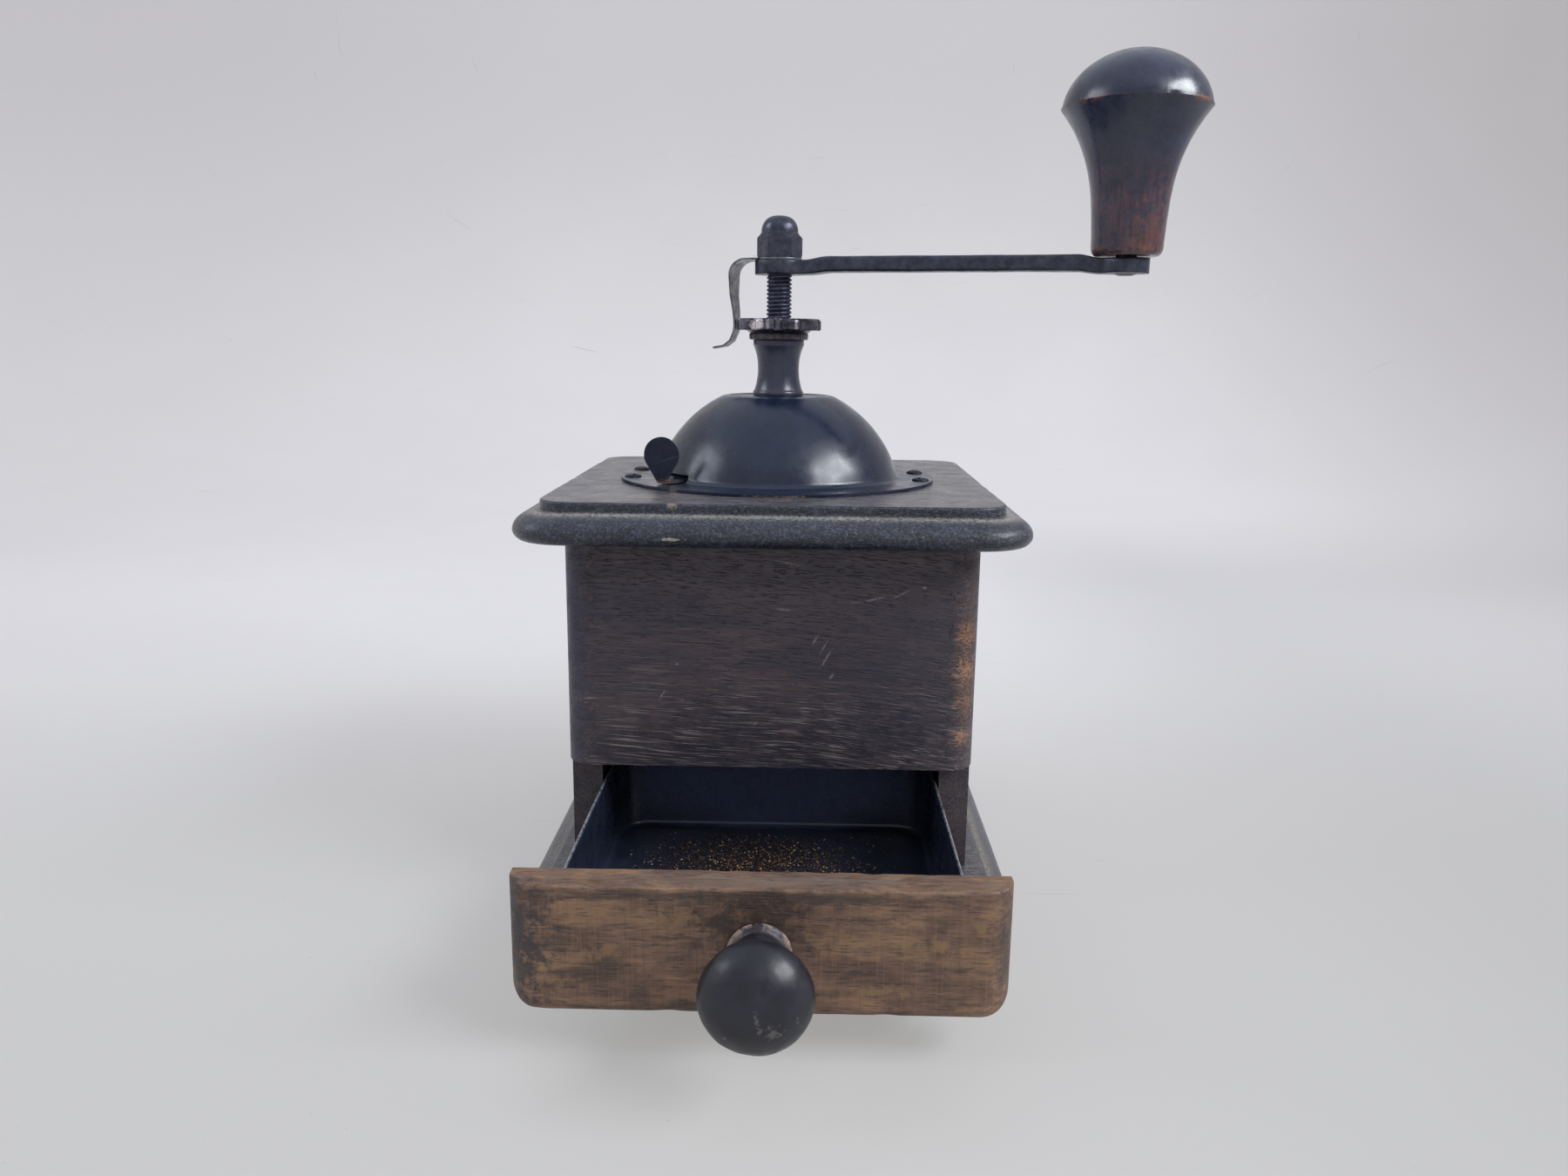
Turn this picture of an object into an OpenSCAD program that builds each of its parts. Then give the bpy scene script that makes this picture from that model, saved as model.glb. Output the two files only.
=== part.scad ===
// Hand crank coffee grinder: a wooden box with a drawer, a steel dome and a side-swinging crank.
// Millimetres. +Z is up, the drawer faces -Y, and the origin is the middle of the underside.

/* [Box] */
// Outer width and depth of the wooden box
body_w = 120; // [105:1:140]
// Height of the box panels between the two moulded boards
body_h = 101.6; // [88:0.2:125]
// Thickness of the four box panels
panel_t = 9; // [7:0.5:11]
// Radius of the rounded upright corners of the box
corner_r = 8; // [4:0.5:8.5]
// Height of one finger of the corner joints
finger_target = 4.6; // [3.5:0.1:9]

/* [Moulded boards] */
// Thickness of the top board and of the base board
board_t = 11.4; // [10:0.2:15]
// Distance that each board reaches past the box
board_overhang = 13.5; // [10:0.5:17]
// Corner radius of the boards, seen from above
board_corner_r = 15; // [12:0.5:20]
// Height of the raised flat panel above the moulded edge
rise_h = 3.1; // [1.5:0.1:4]
// Distance from the widest line of the edge in to the raised panel
rise_inset = 7.4; // [6:0.2:9]
// Corner radius of the raised panel
rise_corner_r = 10.3; // [6:0.1:14]
// Height of the widest line of the edge above the board's underside
edge_line_h = 3.5; // [2.5:0.1:4.5]
// Radius of the round hole that takes beans through the top board
hopper_hole_r = 34; // [30:0.5:36]

/* [Drawer] */
// Height of the drawer opening above the base board
opening_h = 34.5; // [28:0.5:42]
// Thickness of the wooden drawer front
drawer_front_t = 10; // [9:0.5:13]
// Gap between the drawer front and the opening above it
drawer_top_gap = 1.4; // [0.6:0.1:2.5]
// Gap between the drawer front and the base board
drawer_foot_gap = 0.5; // [0.3:0.1:1]
// Height of the steel tray
tray_h = 26.5; // [18:0.5:27]
// Sheet thickness of the tray
tray_t = 1; // [0.8:0.1:1.5]
// Radius of the tray's pressed corners
tray_r = 6; // [3:0.5:9]
// Gap on each side of the tray
tray_side_gap = 0.6; // [0.4:0.1:1.2]
// Gap under the tray
tray_foot_gap = 0.3; // [0.2:0.1:0.6]
// Gap behind the closed tray
tray_back_gap = 1; // [0.5:0.5:4]
// How far the drawer is drawn out
drawer_out = 75; // [0:1:85]
// Largest radius of the drawer knob
drawer_knob_r = 13.3; // [10:0.1:16]
// How far the drawer knob stands out from the drawer front
drawer_knob_l = 28; // [22:0.5:34]
// Radius of the drawer knob's waist
drawer_knob_waist_r = 6.6; // [5:0.1:8]

/* [Dome] */
// Radius of the flat flange round the dome
flange_r = 51; // [48:0.5:54]
// Sheet thickness of the dome and its flange
dome_t = 1; // [0.8:0.1:1.2]
// Height of the dome above its flange
dome_h = 26; // [23:0.5:28]
// Radius of the long curve of the dome's side
dome_side_r = 41; // [38:0.5:46]
// Radius of the dome's shoulder
shoulder_r = 6; // [5:0.5:8]
// Distance of the shoulder's centre from the spindle
shoulder_centre = 16; // [14:0.5:18]
// Slope of the dome where its shoulder ends, from level
shoulder_slope = 27; // [20:1:32]
// Radius of the inside curve where the dome meets its flange
foot_r = 2.4; // [1.5:0.1:3]
// Width of the filling window in the dome, in degrees
window_angle = 60; // [40:1:66]
// Height of the filling window above the flange
window_h = 19; // [14:0.5:20]
// Distance of the flange screws from the spindle
flange_screw_pcd_r = 47.3; // [46:0.1:48]
// Angle of each flange screw from the left-to-right line
flange_screw_angle = 13; // [8:1:18]

/* [Filler door] */
// Gap between the dome and the door that turns inside it
door_gap = 0.4; // [0.3:0.05:0.6]
// Sheet thickness of the door
door_t = 0.8; // [0.6:0.1:1]
// How far the door laps past each side of the window, in degrees
door_lap = 5; // [3:1:8]
// Radius of the round finger tab
tab_r = 5.4; // [4:0.1:7]
// Height of the finger tab's centre above the flange
tab_h = 9; // [7:0.2:11]
// Direction of the finger tab round the spindle
tab_angle = 222; // [215:1:230]
// Direction that the face of the finger tab looks in
tab_facing = 262; // [240:1:280]

/* [Neck] */
// Height of the neck above the dome
neck_h = 17.5; // [14:0.5:22]
// Radius of the neck's foot
neck_foot_r = 8.2; // [7.4:0.1:9]
// Radius of the neck's waist
neck_waist_r = 6.65; // [6.2:0.05:7.2]
// Radius of the neck's spigot inside the dome
spigot_r = 6; // [5.4:0.1:6.4]

/* [Spindle] */
// Diameter of the spindle
spindle_d = 8; // [7:0.5:8.5]
// Pitch of the spindle's thread
thread_pitch = 1.25; // [1:0.05:1.5]
// Height of the crank seat above the adjusting nut
crank_lift = 14.1; // [10:0.1:20]
// Distance across the two flats that carry the crank
flats_w = 6; // [5:0.1:6.5]
// Gap all round the spindle in its bearings
bearing_gap = 0.06; // [0.02:0.01:0.1]
// Radius of the loose washer under the adjusting nut
washer_r = 9.5; // [8.5:0.1:11]
// Thickness of the loose washer
washer_t = 2.2; // [1:0.1:3]
// Radius of the adjusting nut
nut_r = 13.6; // [12:0.1:15]
// Thickness of the adjusting nut's notched rim
nut_t = 3.6; // [2.5:0.1:5]
// Number of notches round the adjusting nut
nut_notches = 10; // [6:1:14]
// Radius of each notch
notch_r = 1.3; // [1:0.1:1.8]

/* [Crank] */
// Distance from the spindle to the middle of the crank knob
crank_r = 106; // [90:1:125]
// Direction of the crank round the spindle
crank_angle = -15; // [-25:5:25]
// Thickness of the crank's flattened ends
crank_end_t = 4; // [3:0.1:5]
// Thickness of the crank's bar
crank_bar_t = 4.7; // [4:0.1:6.5]
// Width of the crank's bar
crank_bar_w = 9; // [7:0.5:12]
// Radius of the crank's hub
crank_hub_r = 7.8; // [7:0.1:10]
// Radius of the crank's outer end
crank_tip_r = 6.8; // [6:0.1:9]
// Height of the crank knob
crank_knob_h = 57; // [48:1:66]
// Radius of the crank knob at its ridge
crank_knob_r = 21.3; // [18:0.1:25]
// Radius of the crank knob's waist
crank_knob_waist_r = 10.8; // [9:0.1:12]
// Distance across the flats of the cap nut
cap_nut_w = 12.5; // [11:0.5:14]
// Height of the cap nut's hexagon
cap_nut_h = 7.3; // [5:0.1:9]
// Sheet thickness of the locking leaf
leaf_t = 0.6; // [0.5:0.05:0.8]
// Width of the locking leaf at its bend
leaf_w = 10; // [7:0.5:12]
// Gap between the locking leaf and the adjusting nut
leaf_gap = 0.3; // [0.2:0.05:0.6]

/* [Grinding gear] */
// Height of the cast burr housing
housing_h = 29; // [25:0.5:34]
// Radius of the housing's flange under the top board
housing_flange_r = 42; // [39.5:0.5:46]
// Outer radius of the housing round the burrs
housing_r = 23.5; // [22.5:0.5:26]
// Radius of the burr ring at its lower edge
burr_r = 19.5; // [17:0.1:20]
// Gap between the burrs at their lower edge
burr_gap = 0.7; // [0.6:0.05:1]
// Height of the inner burr
burr_h = 19; // [15:0.5:21]
// Number of teeth on each burr
burr_teeth = 18; // [12:1:24]
// Depth of the burr teeth
tooth_h = 0.9; // [0.6:0.1:1.2]
// Thickness of the bearing bridge
bridge_t = 3; // [2:0.5:4]
// Width of the bearing bridge
bridge_w = 12; // [10:0.5:16]

/* [Hidden] */
$fn = 96;

// A sliver that lets one cut run clean through another
eps = 0.05;
// Gap round a screw or a pin in its hole
hole_gap = 0.03;
// Segments in each quarter of a moulded or turned curve
curve_steps = 10;

// Heights of the main levels
base_top = board_t;
opening_top = base_top + opening_h;
body_top = base_top + body_h;
board_top = body_top + board_t;
flange_top = board_top + dome_t;
dome_top = flange_top + dome_h;
neck_top = dome_top + neck_h;
washer_top = neck_top + washer_t;
nut_foot_t = 0.8;
nut_top = washer_top + nut_foot_t + nut_t;
crank_seat = nut_top + crank_lift;
leaf_seat = crank_seat + crank_end_t;
cap_seat = leaf_seat + leaf_t;

// Box
inner_w = body_w - 2 * panel_t;
front_h = body_top - opening_top;
front_fingers = odd_count(front_h / finger_target);
back_fingers = odd_count(body_h / finger_target);

// Boards
board_w = body_w + 2 * board_overhang;
rise_w = board_w - 2 * rise_inset;
step_h = board_t - rise_h;
ovolo_run = rise_inset - 0.6;
under_run = 2.2;

// Drawer
drawer_front_h = opening_h - drawer_top_gap - drawer_foot_gap;
tray_w = inner_w - 2 * tray_side_gap;
tray_l = body_w - panel_t - tray_back_gap - drawer_front_t;
tray_z = base_top + tray_foot_gap;
drawer_mid_z = base_top + drawer_foot_gap + drawer_front_h / 2;
knob_foot_r = drawer_knob_waist_r + 1.2;
tray_screw_x = inner_w * 0.3;
tray_screw_z = tray_z + tray_h * 0.6;

// Wood screws: shank radius, head radius and head height
screw_r = 1.2;
screw_head_r = 2;
screw_head_h = dome_t - 0.1;
base_screw_r = 1.75;
base_screw_head_r = 3.5;
base_screw_head_h = 2.4;
base_screw_l = 26;
base_screw_y = body_w * 0.3;
flange_screw_l = 9;
knob_screw_r = 2;
knob_screw_head_r = 4;
knob_screw_head_h = 1.6;
knob_screw_l = knob_screw_head_h + tray_t + drawer_front_t + drawer_knob_l * 0.55;
tray_screw_l = 8;

// Spindle
spindle_r = spindle_d / 2;
bearing_r = spindle_r + bearing_gap;
journal_r = spindle_r - 0.5;
thread_depth = thread_pitch * 0.5;
thread_start = washer_top - 3;
spindle_end_gap = 0.5;

// Dome outline: the shoulder arc runs into the long side arc, and that into the foot arc
shoulder_z = dome_top - shoulder_r;
side_start = 90 - shoulder_slope;
side_cx = shoulder_centre + (shoulder_r - dome_side_r) * cos(side_start);
side_cz = shoulder_z + (shoulder_r - dome_side_r) * sin(side_start);
foot_cz = flange_top + foot_r;
side_end = asin((foot_cz - side_cz) / (dome_side_r + foot_r));
foot_cx = side_cx + (dome_side_r + foot_r) * cos(side_end);

// Filler door
window_end = 172;
window_start = window_end - window_angle;
door_start = window_start - door_lap;
door_end = window_end + door_lap;
door_foot_z = flange_top + door_gap;
slot_h = door_gap + door_t + 1.3;
band_h = slot_h - 0.4;
tab_seat_r = foot_cx + 5;
tab_lip_w = 4;
door_ring_r = spigot_r + 5;
ring_gap = 0.1;
rim_h = 0.9;
rim_r = spigot_r + 1;
door_under = dome_top - dome_t - door_gap - door_t;

// Crank
crank_knob_z = leaf_seat + 0.4;
crown_inset = 0.6;
rivet_r = 3;
rivet_head_r = 4.6;
rivet_head_h = 1.6;
rivet_recess = 2.6;
rivet_foot_h = 1;
rivet_gap = 0.1;

// Grinding gear
housing_foot = body_top - housing_h;
housing_flange_t = 3;
housing_screw_r = (housing_flange_r + hopper_hole_r) / 2;
burr_slope = 0.34;
burr_ring_h = 16;
burr_foot = housing_foot - 1.5;
bridge_drop = 4.5;
bridge_top = housing_foot - bridge_drop;
lug_x = housing_r + 4.5;
lug_r = 5;
lug_h = 6;
bridge_screw_r = 1.9;
bridge_screw_head_r = 3.4;
bridge_screw_head_h = 2;
bridge_screw_l = bridge_screw_head_h + bridge_t + bridge_drop + lug_h * 0.8;
// Depth that each screw hole goes on past the screw's end
screw_end_gap = 0.5;
pin_r = 1.25;
pin_z = housing_foot + 3;

// An odd whole number, so that a corner joint starts and ends with the same panel
function odd_count(n) = 2 * floor(n / 2) + 1;

// Points of an elliptical arc from one angle to another
function arc_points(cx, cz, rx, rz, from, to, steps) =
    [for (i = [0:steps]) let (a = from + (to - from) * i / steps) [cx + rx * cos(a), cz + rz * sin(a)]];

// Half of a moulded board's section below its raised panel, from the middle out to the edge
function board_edge(half) = concat(
    [[0, 0]],
    arc_points(half - under_run, edge_line_h, under_run, edge_line_h, -90, 0, curve_steps),
    arc_points(half - ovolo_run, edge_line_h, ovolo_run, step_h - edge_line_h, 0, 90, curve_steps),
    [[0, step_h]]);

// The dome's outline from the inner radius to the foot, moved inward by depth
function dome_line(inner_r, depth) = concat(
    [[inner_r, dome_top - depth]],
    arc_points(shoulder_centre, shoulder_z, shoulder_r - depth, shoulder_r - depth,
        90, side_start, curve_steps),
    arc_points(side_cx, side_cz, dome_side_r - depth, dome_side_r - depth,
        side_start, side_end, 2 * curve_steps));

// The curve from the dome's side out to the flange, moved inward by depth
function foot_line(depth) = arc_points(foot_cx, foot_cz, foot_r + depth, foot_r + depth,
    180 + side_end, 270, curve_steps);

// A list in the other order
function reversed(points) = [for (i = [len(points) - 1:-1:0]) points[i]];

// Both sides of a sheet of thickness t that follows a path of points
function sheet_side(path, offset) = [for (i = [0:len(path) - 1])
    let (a = path[max(i - 1, 0)], b = path[min(i + 1, len(path) - 1)], d = b - a, n = norm(d))
    path[i] + offset * [-d[1], d[0]] / n];
function sheet(path, t) = concat(sheet_side(path, t / 2), reversed(sheet_side(path, -t / 2)));

// Radius of the burr ring's inside at height z
function ring_r(z) = burr_r - (z - housing_foot) * burr_slope;

// A square outline with rounded corners
module rounded_square(w, r) {
    square([w, w - 2 * r], center = true);
    square([w - 2 * r, w], center = true);
    for (x = [-1, 1], y = [-1, 1])
        translate([x, y] * (w / 2 - r)) circle(r);
}

// One side of the moulded edge, as a long bar across the board
module board_bar() {
    half = board_edge(board_w / 2);
    mirrored = [for (p = reversed(half)) [-p[0], p[1]]];
    rotate([90, 0, 0])
        linear_extrude(board_w - 2 * board_corner_r, center = true) polygon(concat(half, mirrored));
}

// A square board with an ovolo edge, rounded corners and a raised flat panel
module moulded_board() {
    board_bar();
    rotate(90) board_bar();
    for (x = [-1, 1], y = [-1, 1])
        translate([x, y, 0] * (board_w / 2 - board_corner_r))
            rotate_extrude() polygon(board_edge(board_corner_r));
    translate([0, 0, step_h / 2])
        linear_extrude(board_t - step_h / 2) rounded_square(rise_w, rise_corner_r);
}

// The box's outline as a tall solid, which rounds the upright edges of what it cuts
module box_outline() {
    linear_extrude(board_top) rounded_square(body_w, corner_r);
}

// Room for every second finger of the joint in the corner at [x, y], from the inner corner [from_x, from_y]
module finger_gaps(x, y, from_x, from_y, z0, z1, count, first) {
    h = (z1 - z0) / count;
    mirror([x < 0 ? 1 : 0, 0, 0]) mirror([0, y < 0 ? 1 : 0, 0])
        for (i = [first:2:count - 1]) {
            low = z0 + i * h - (i == 0 ? panel_t : 0);
            high = z0 + (i + 1) * h + (i == count - 1 ? panel_t : 0);
            translate([from_x, from_y, low]) cube([body_w, body_w, high - low]);
        }
}

// A countersunk screw standing on its head at the origin, its shank along +Z
module screw(r, l, head_r, head_h) {
    rotate_extrude() polygon([[0, 0], [head_r, 0], [r, head_h], [r, l - 2 * r], [r * 0.4, l], [0, l]]);
}

// The slot in a screw's head
module screw_slot(head_r, head_h) {
    translate([0, 0, head_h * 0.2])
        cube([3 * head_r, head_r * 0.3, head_h * 0.5 + eps], center = true);
}

// The room that a countersunk screw takes in the pieces it holds
module screw_hole(r, l, head_r, head_h) {
    screw(r + hole_gap, l + 2 * hole_gap, head_r + hole_gap, head_h);
    translate([0, 0, -eps]) cylinder(h = 2 * eps, r = head_r + hole_gap);
}

module at_base_screws() {
    for (x = [-1, 1], y = [-1, 1])
        translate([x * (body_w - panel_t) / 2, y * base_screw_y, 0]) children();
}

module at_flange_screws() {
    for (side = [0, 180], a = [-1, 1])
        rotate(side + a * flange_screw_angle)
            translate([flange_screw_pcd_r, 0, flange_top]) rotate([180, 0, 0]) children();
}

module at_housing_screws() {
    for (a = [45:90:315])
        rotate(a) translate([housing_screw_r, 0, body_top - housing_flange_t]) children();
}

module at_bridge_screws() {
    for (x = [-1, 1])
        translate([x * lug_x, 0, bridge_top - bridge_t - bridge_screw_head_h]) children();
}

module at_tray_screws() {
    for (x = [-1, 1])
        translate([x * tray_screw_x, -body_w / 2 + drawer_front_t + tray_t, tray_screw_z])
            rotate([90, 0, 0]) children();
}

// The drawer's pieces are made with the drawer shut and then drawn out
module drawn_out() {
    translate([0, -drawer_out, 0]) children();
}

module knob_screw_place() {
    translate([0, -body_w / 2 + drawer_front_t + tray_t + knob_screw_head_h, drawer_mid_z])
        rotate([90, 0, 0]) children();
}

// ---- Box ----

module base_board() {
    color("#1b1613") difference() {
        moulded_board();
        at_base_screws() screw_hole(base_screw_r, base_screw_l, base_screw_head_r, base_screw_head_h);
    }
}

module base_screws() {
    color("#6d6a66") at_base_screws() difference() {
        screw(base_screw_r, base_screw_l, base_screw_head_r, base_screw_head_h);
        screw_slot(base_screw_head_r, base_screw_head_h);
    }
}

// The panel on the left (side = -1) or on the right (side = 1)
module side_panel(side) {
    color("#2a1e18") difference() {
        intersection() {
            box_outline();
            translate([side * (body_w - panel_t) / 2, 0, base_top + body_h / 2])
                cube([panel_t, body_w, body_h], center = true);
        }
        finger_gaps(side, -1, 0, inner_w / 2, opening_top, body_top, front_fingers, 0);
        finger_gaps(side, 1, 0, inner_w / 2, base_top, body_top, back_fingers, 0);
        // The drawer front shuts into this rebate
        translate([side * body_w / 2, -body_w / 2, opening_top - body_h / 2])
            cube([3 * panel_t, 2 * drawer_front_t, body_h], center = true);
        at_base_screws() screw_hole(base_screw_r, base_screw_l, base_screw_head_r, base_screw_head_h);
    }
}

module left_panel() { side_panel(-1); }

module right_panel() { side_panel(1); }

module back_panel() {
    color("#2a1e18") difference() {
        intersection() {
            box_outline();
            translate([0, (body_w - panel_t) / 2, base_top + body_h / 2])
                cube([body_w, panel_t, body_h], center = true);
        }
        for (x = [-1, 1]) finger_gaps(x, 1, inner_w / 2, 0, base_top, body_top, back_fingers, 1);
    }
}

module front_panel() {
    color("#2f211a") difference() {
        intersection() {
            box_outline();
            translate([0, -(body_w - panel_t) / 2, opening_top + front_h / 2])
                cube([body_w, panel_t, front_h], center = true);
        }
        for (x = [-1, 1]) finger_gaps(x, -1, inner_w / 2, 0, opening_top, body_top, front_fingers, 1);
    }
}

module top_board() {
    color("#1b1613") difference() {
        translate([0, 0, body_top]) moulded_board();
        translate([0, 0, body_top - eps]) cylinder(h = board_t + 2 * eps, r = hopper_hole_r);
        at_flange_screws() screw_hole(screw_r, flange_screw_l, screw_head_r, screw_head_h);
        at_housing_screws() screw_hole(screw_r, flange_screw_l, screw_head_r, screw_head_h);
    }
}

// ---- Dome ----

module dome_cover() {
    color("#10151d") difference() {
        rotate_extrude() polygon(concat(
            dome_line(spigot_r + hole_gap, 0),
            foot_line(0),
            [[flange_r, flange_top], [flange_r, board_top]],
            reversed(foot_line(dome_t)),
            reversed(dome_line(spigot_r + hole_gap, dome_t))));
        // A shallow pressed groove round the foot of the neck
        translate([0, 0, dome_top]) rotate_extrude()
            translate([(neck_foot_r + shoulder_centre) / 2, 0])
                scale([1, 0.12]) circle((shoulder_centre - neck_foot_r) / 2);
        rotate(window_start) rotate_extrude(angle = window_angle)
            translate([shoulder_centre, flange_top]) square([foot_cx - shoulder_centre + eps, window_h]);
        rotate(window_end - eps) rotate_extrude(angle = tab_angle + door_lap - window_end)
            translate([shoulder_centre, flange_top]) square([foot_cx - shoulder_centre + eps, slot_h]);
        at_flange_screws() screw_hole(screw_r, flange_screw_l, screw_head_r, screw_head_h);
    }
}

module flange_screws() {
    color("#3a3836") at_flange_screws() difference() {
        screw(screw_r, flange_screw_l, screw_head_r, screw_head_h);
        screw_slot(screw_head_r, screw_head_h);
    }
}

// The inner door: a curved leaf on a ring round the neck's spigot, with a finger tab outside
module filler_door() {
    outer = dome_t + door_gap;
    inner = outer + door_t;
    outer_line = dome_line(door_ring_r, outer);
    inner_line = dome_line(door_ring_r, inner);
    color("#161a21") {
        // The leaf, cut off level above the flange
        intersection() {
            rotate(door_start) rotate_extrude(angle = door_end - door_start)
                polygon(concat(outer_line, reversed(inner_line)));
            translate([0, 0, door_foot_z]) cylinder(h = 2 * dome_h, r = flange_r);
        }
        // The ring that turns on the neck's spigot
        translate([0, 0, dome_top - inner]) difference() {
            cylinder(h = door_t, r = door_ring_r + eps);
            translate([0, 0, -eps]) cylinder(h = door_t + 2 * eps, r = spigot_r + ring_gap);
        }
        // The low band that carries the tab along the slot
        intersection() {
            rotate(door_end - 1) rotate_extrude(angle = tab_angle + 3 - door_end)
                polygon(concat(outer_line, reversed(inner_line)));
            translate([0, 0, door_foot_z]) cylinder(h = band_h, r = flange_r);
        }
        rotate(tab_angle) translate([tab_seat_r, 0, 0]) {
            band_r = foot_cx - foot_r - outer - door_t;
            translate([band_r - tab_seat_r, -tab_lip_w / 2, door_foot_z])
                cube([tab_seat_r - band_r, tab_lip_w, door_t]);
            rotate(tab_facing - tab_angle) finger_tab();
        }
    }
}

// An upright disc on a narrow stem, facing +X
module finger_tab() {
    stem_top = flange_top + tab_h;
    translate([-door_t / 2, 0, 0]) rotate([90, 0, 90]) linear_extrude(door_t) {
        translate([0, stem_top]) circle(tab_r);
        polygon([[-1.2, door_foot_z], [1.2, door_foot_z],
            [tab_r * 0.8, stem_top - tab_r * 0.6], [-tab_r * 0.8, stem_top - tab_r * 0.6]]);
    }
}

// The turned neck that guides the spindle, with a spigot peened under the door's ring
module neck_bush() {
    throat_z = dome_top + neck_h * 0.55;
    flare = neck_foot_r - neck_waist_r;
    spigot_foot = door_under - 0.3;
    color("#12171f") rotate_extrude() polygon(concat(
        [[bearing_r, spigot_foot - rim_h], [rim_r, spigot_foot - rim_h],
            [rim_r, spigot_foot], [spigot_r, spigot_foot],
            [spigot_r, dome_top], [neck_foot_r, dome_top], [neck_foot_r, dome_top + 1]],
        [for (i = [1:2 * curve_steps]) let (t = i / (2 * curve_steps), s = 1 - 2 * t)
            [neck_waist_r + flare * pow(abs(s), 2.2) * (s > 0 ? 0.85 : 1),
                dome_top + 1 + (neck_h - 2.6) * t]],
        [[neck_foot_r, neck_top - 1.2], [neck_foot_r, neck_top], [bearing_r, neck_top]]));
}

// ---- Grinding gear ----

// The cast funnel whose lower end is the fixed burr ring
module burr_housing() {
    throat_z = housing_foot + burr_ring_h;
    throat_r = ring_r(throat_z);
    mouth_r = hopper_hole_r - 1;
    lug_root_r = burr_r + tooth_h + 1.5;
    color("#45423e") difference() {
        union() {
            rotate_extrude() polygon([
                [ring_r(housing_foot), housing_foot], [housing_r, housing_foot],
                [housing_r, housing_foot + burr_ring_h * 0.5],
                [mouth_r + 3, body_top - housing_flange_t],
                [housing_flange_r, body_top - housing_flange_t], [housing_flange_r, body_top],
                [mouth_r, body_top], [throat_r, throat_z]]);
            for (x = [-1, 1]) translate([x * lug_x, 0, housing_foot]) cylinder(h = lug_h, r = lug_r);
            for (x = [-1, 1])
                translate([x * (lug_x + lug_root_r) / 2, 0, housing_foot + lug_h / 2])
                    cube([lug_x - lug_root_r, lug_r, lug_h], center = true);
        }
        for (i = [0:burr_teeth - 1]) rotate(i * 360 / burr_teeth) ring_groove();
        at_housing_screws() screw_hole(screw_r, flange_screw_l, screw_head_r, screw_head_h);
        at_bridge_screws() cylinder(h = bridge_screw_l + screw_end_gap, r = bridge_screw_r + hole_gap);
    }
}

// A groove that leans with the burr ring's inside
module ring_groove() {
    lean = atan(burr_slope);
    translate([ring_r(housing_foot), 0, housing_foot]) rotate([0, -lean, 0])
        translate([0, 0, -1]) rotate(45) translate([-tooth_h * 0.7, -tooth_h * 0.7, 0])
            cube([tooth_h * 1.4, tooth_h * 1.4, burr_ring_h + 1]);
}

module housing_screws() {
    color("#6d6a66") at_housing_screws() difference() {
        screw(screw_r, flange_screw_l, screw_head_r, screw_head_h);
        screw_slot(screw_head_r, screw_head_h);
    }
}

// The strap under the burrs that steadies the spindle's lower end
module bearing_bridge() {
    color("#4a4743") difference() {
        union() {
            translate([0, 0, bridge_top - bridge_t / 2])
                cube([2 * lug_x, bridge_w, bridge_t], center = true);
            for (x = [-1, 1]) translate([x * lug_x, 0, bridge_top - bridge_t]) {
                cylinder(h = bridge_t, r = bridge_w / 2);
                cylinder(h = bridge_t + bridge_drop, r = lug_r);
            }
        }
        translate([0, 0, bridge_top - bridge_t - eps])
            cylinder(h = bridge_t + 2 * eps, r = journal_r + bearing_gap);
        at_bridge_screws() cylinder(h = bridge_screw_l + screw_end_gap, r = bridge_screw_r + hole_gap);
    }
}

module bridge_screws() {
    color("#6d6a66") at_bridge_screws() difference() {
        union() {
            cylinder(h = bridge_screw_head_h, r = bridge_screw_head_r);
            cylinder(h = bridge_screw_l, r = bridge_screw_r);
        }
        screw_slot(bridge_screw_head_r, bridge_screw_head_h);
    }
}

module spindle() {
    journal_foot = bridge_top - bridge_t - 3;
    rings = floor((crank_seat - thread_start) / thread_pitch);
    end_z = cap_seat + cap_nut_h + 1.5;
    color("#34302d") difference() {
        rotate_extrude() polygon(concat(
            [[0, journal_foot], [journal_r - 0.6, journal_foot], [journal_r, journal_foot + 0.6],
                [journal_r, burr_foot], [spindle_r, burr_foot], [spindle_r, thread_start]],
            [for (i = [0:rings - 1], half = [0.5, 1])
                [spindle_r - (half == 0.5 ? thread_depth : 0), thread_start + (i + half) * thread_pitch]],
            [[spindle_r, crank_seat], [spindle_r, end_z - 1], [spindle_r - 1, end_z], [0, end_z]]));
        // Two flats carry the crank and its leaf
        rotate(crank_angle) for (side = [-1, 1])
            translate([0, side * (flats_w / 2 + spindle_r), crank_seat + spindle_r * 2])
                cube([4 * spindle_r, 2 * spindle_r, 4 * spindle_r], center = true);
        rotate(crank_angle) translate([0, 0, pin_z]) rotate([0, 90, 0])
            cylinder(h = 4 * spindle_r, r = pin_r + hole_gap, center = true);
    }
}

// The turning burr, a toothed cone that is widest at its foot
module burr_cone() {
    foot_r2 = burr_r - burr_gap;
    top_r = spindle_r + 3;
    shoulder_h = burr_h * 0.72;
    color("#4b4844") difference() {
        rotate_extrude() polygon([
            [spindle_r + hole_gap, burr_foot], [foot_r2 - 1.5, burr_foot],
            [foot_r2, housing_foot], [foot_r2 - shoulder_h * (burr_slope + 0.06), housing_foot + shoulder_h],
            [top_r, housing_foot + burr_h], [spindle_r + hole_gap, housing_foot + burr_h]]);
        for (i = [0:burr_teeth - 1]) rotate((i + 0.5) * 360 / burr_teeth) cone_groove(foot_r2);
        rotate(crank_angle) translate([0, 0, pin_z]) rotate([0, 90, 0])
            cylinder(h = 4 * burr_r, r = pin_r + hole_gap, center = true);
    }
}

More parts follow.
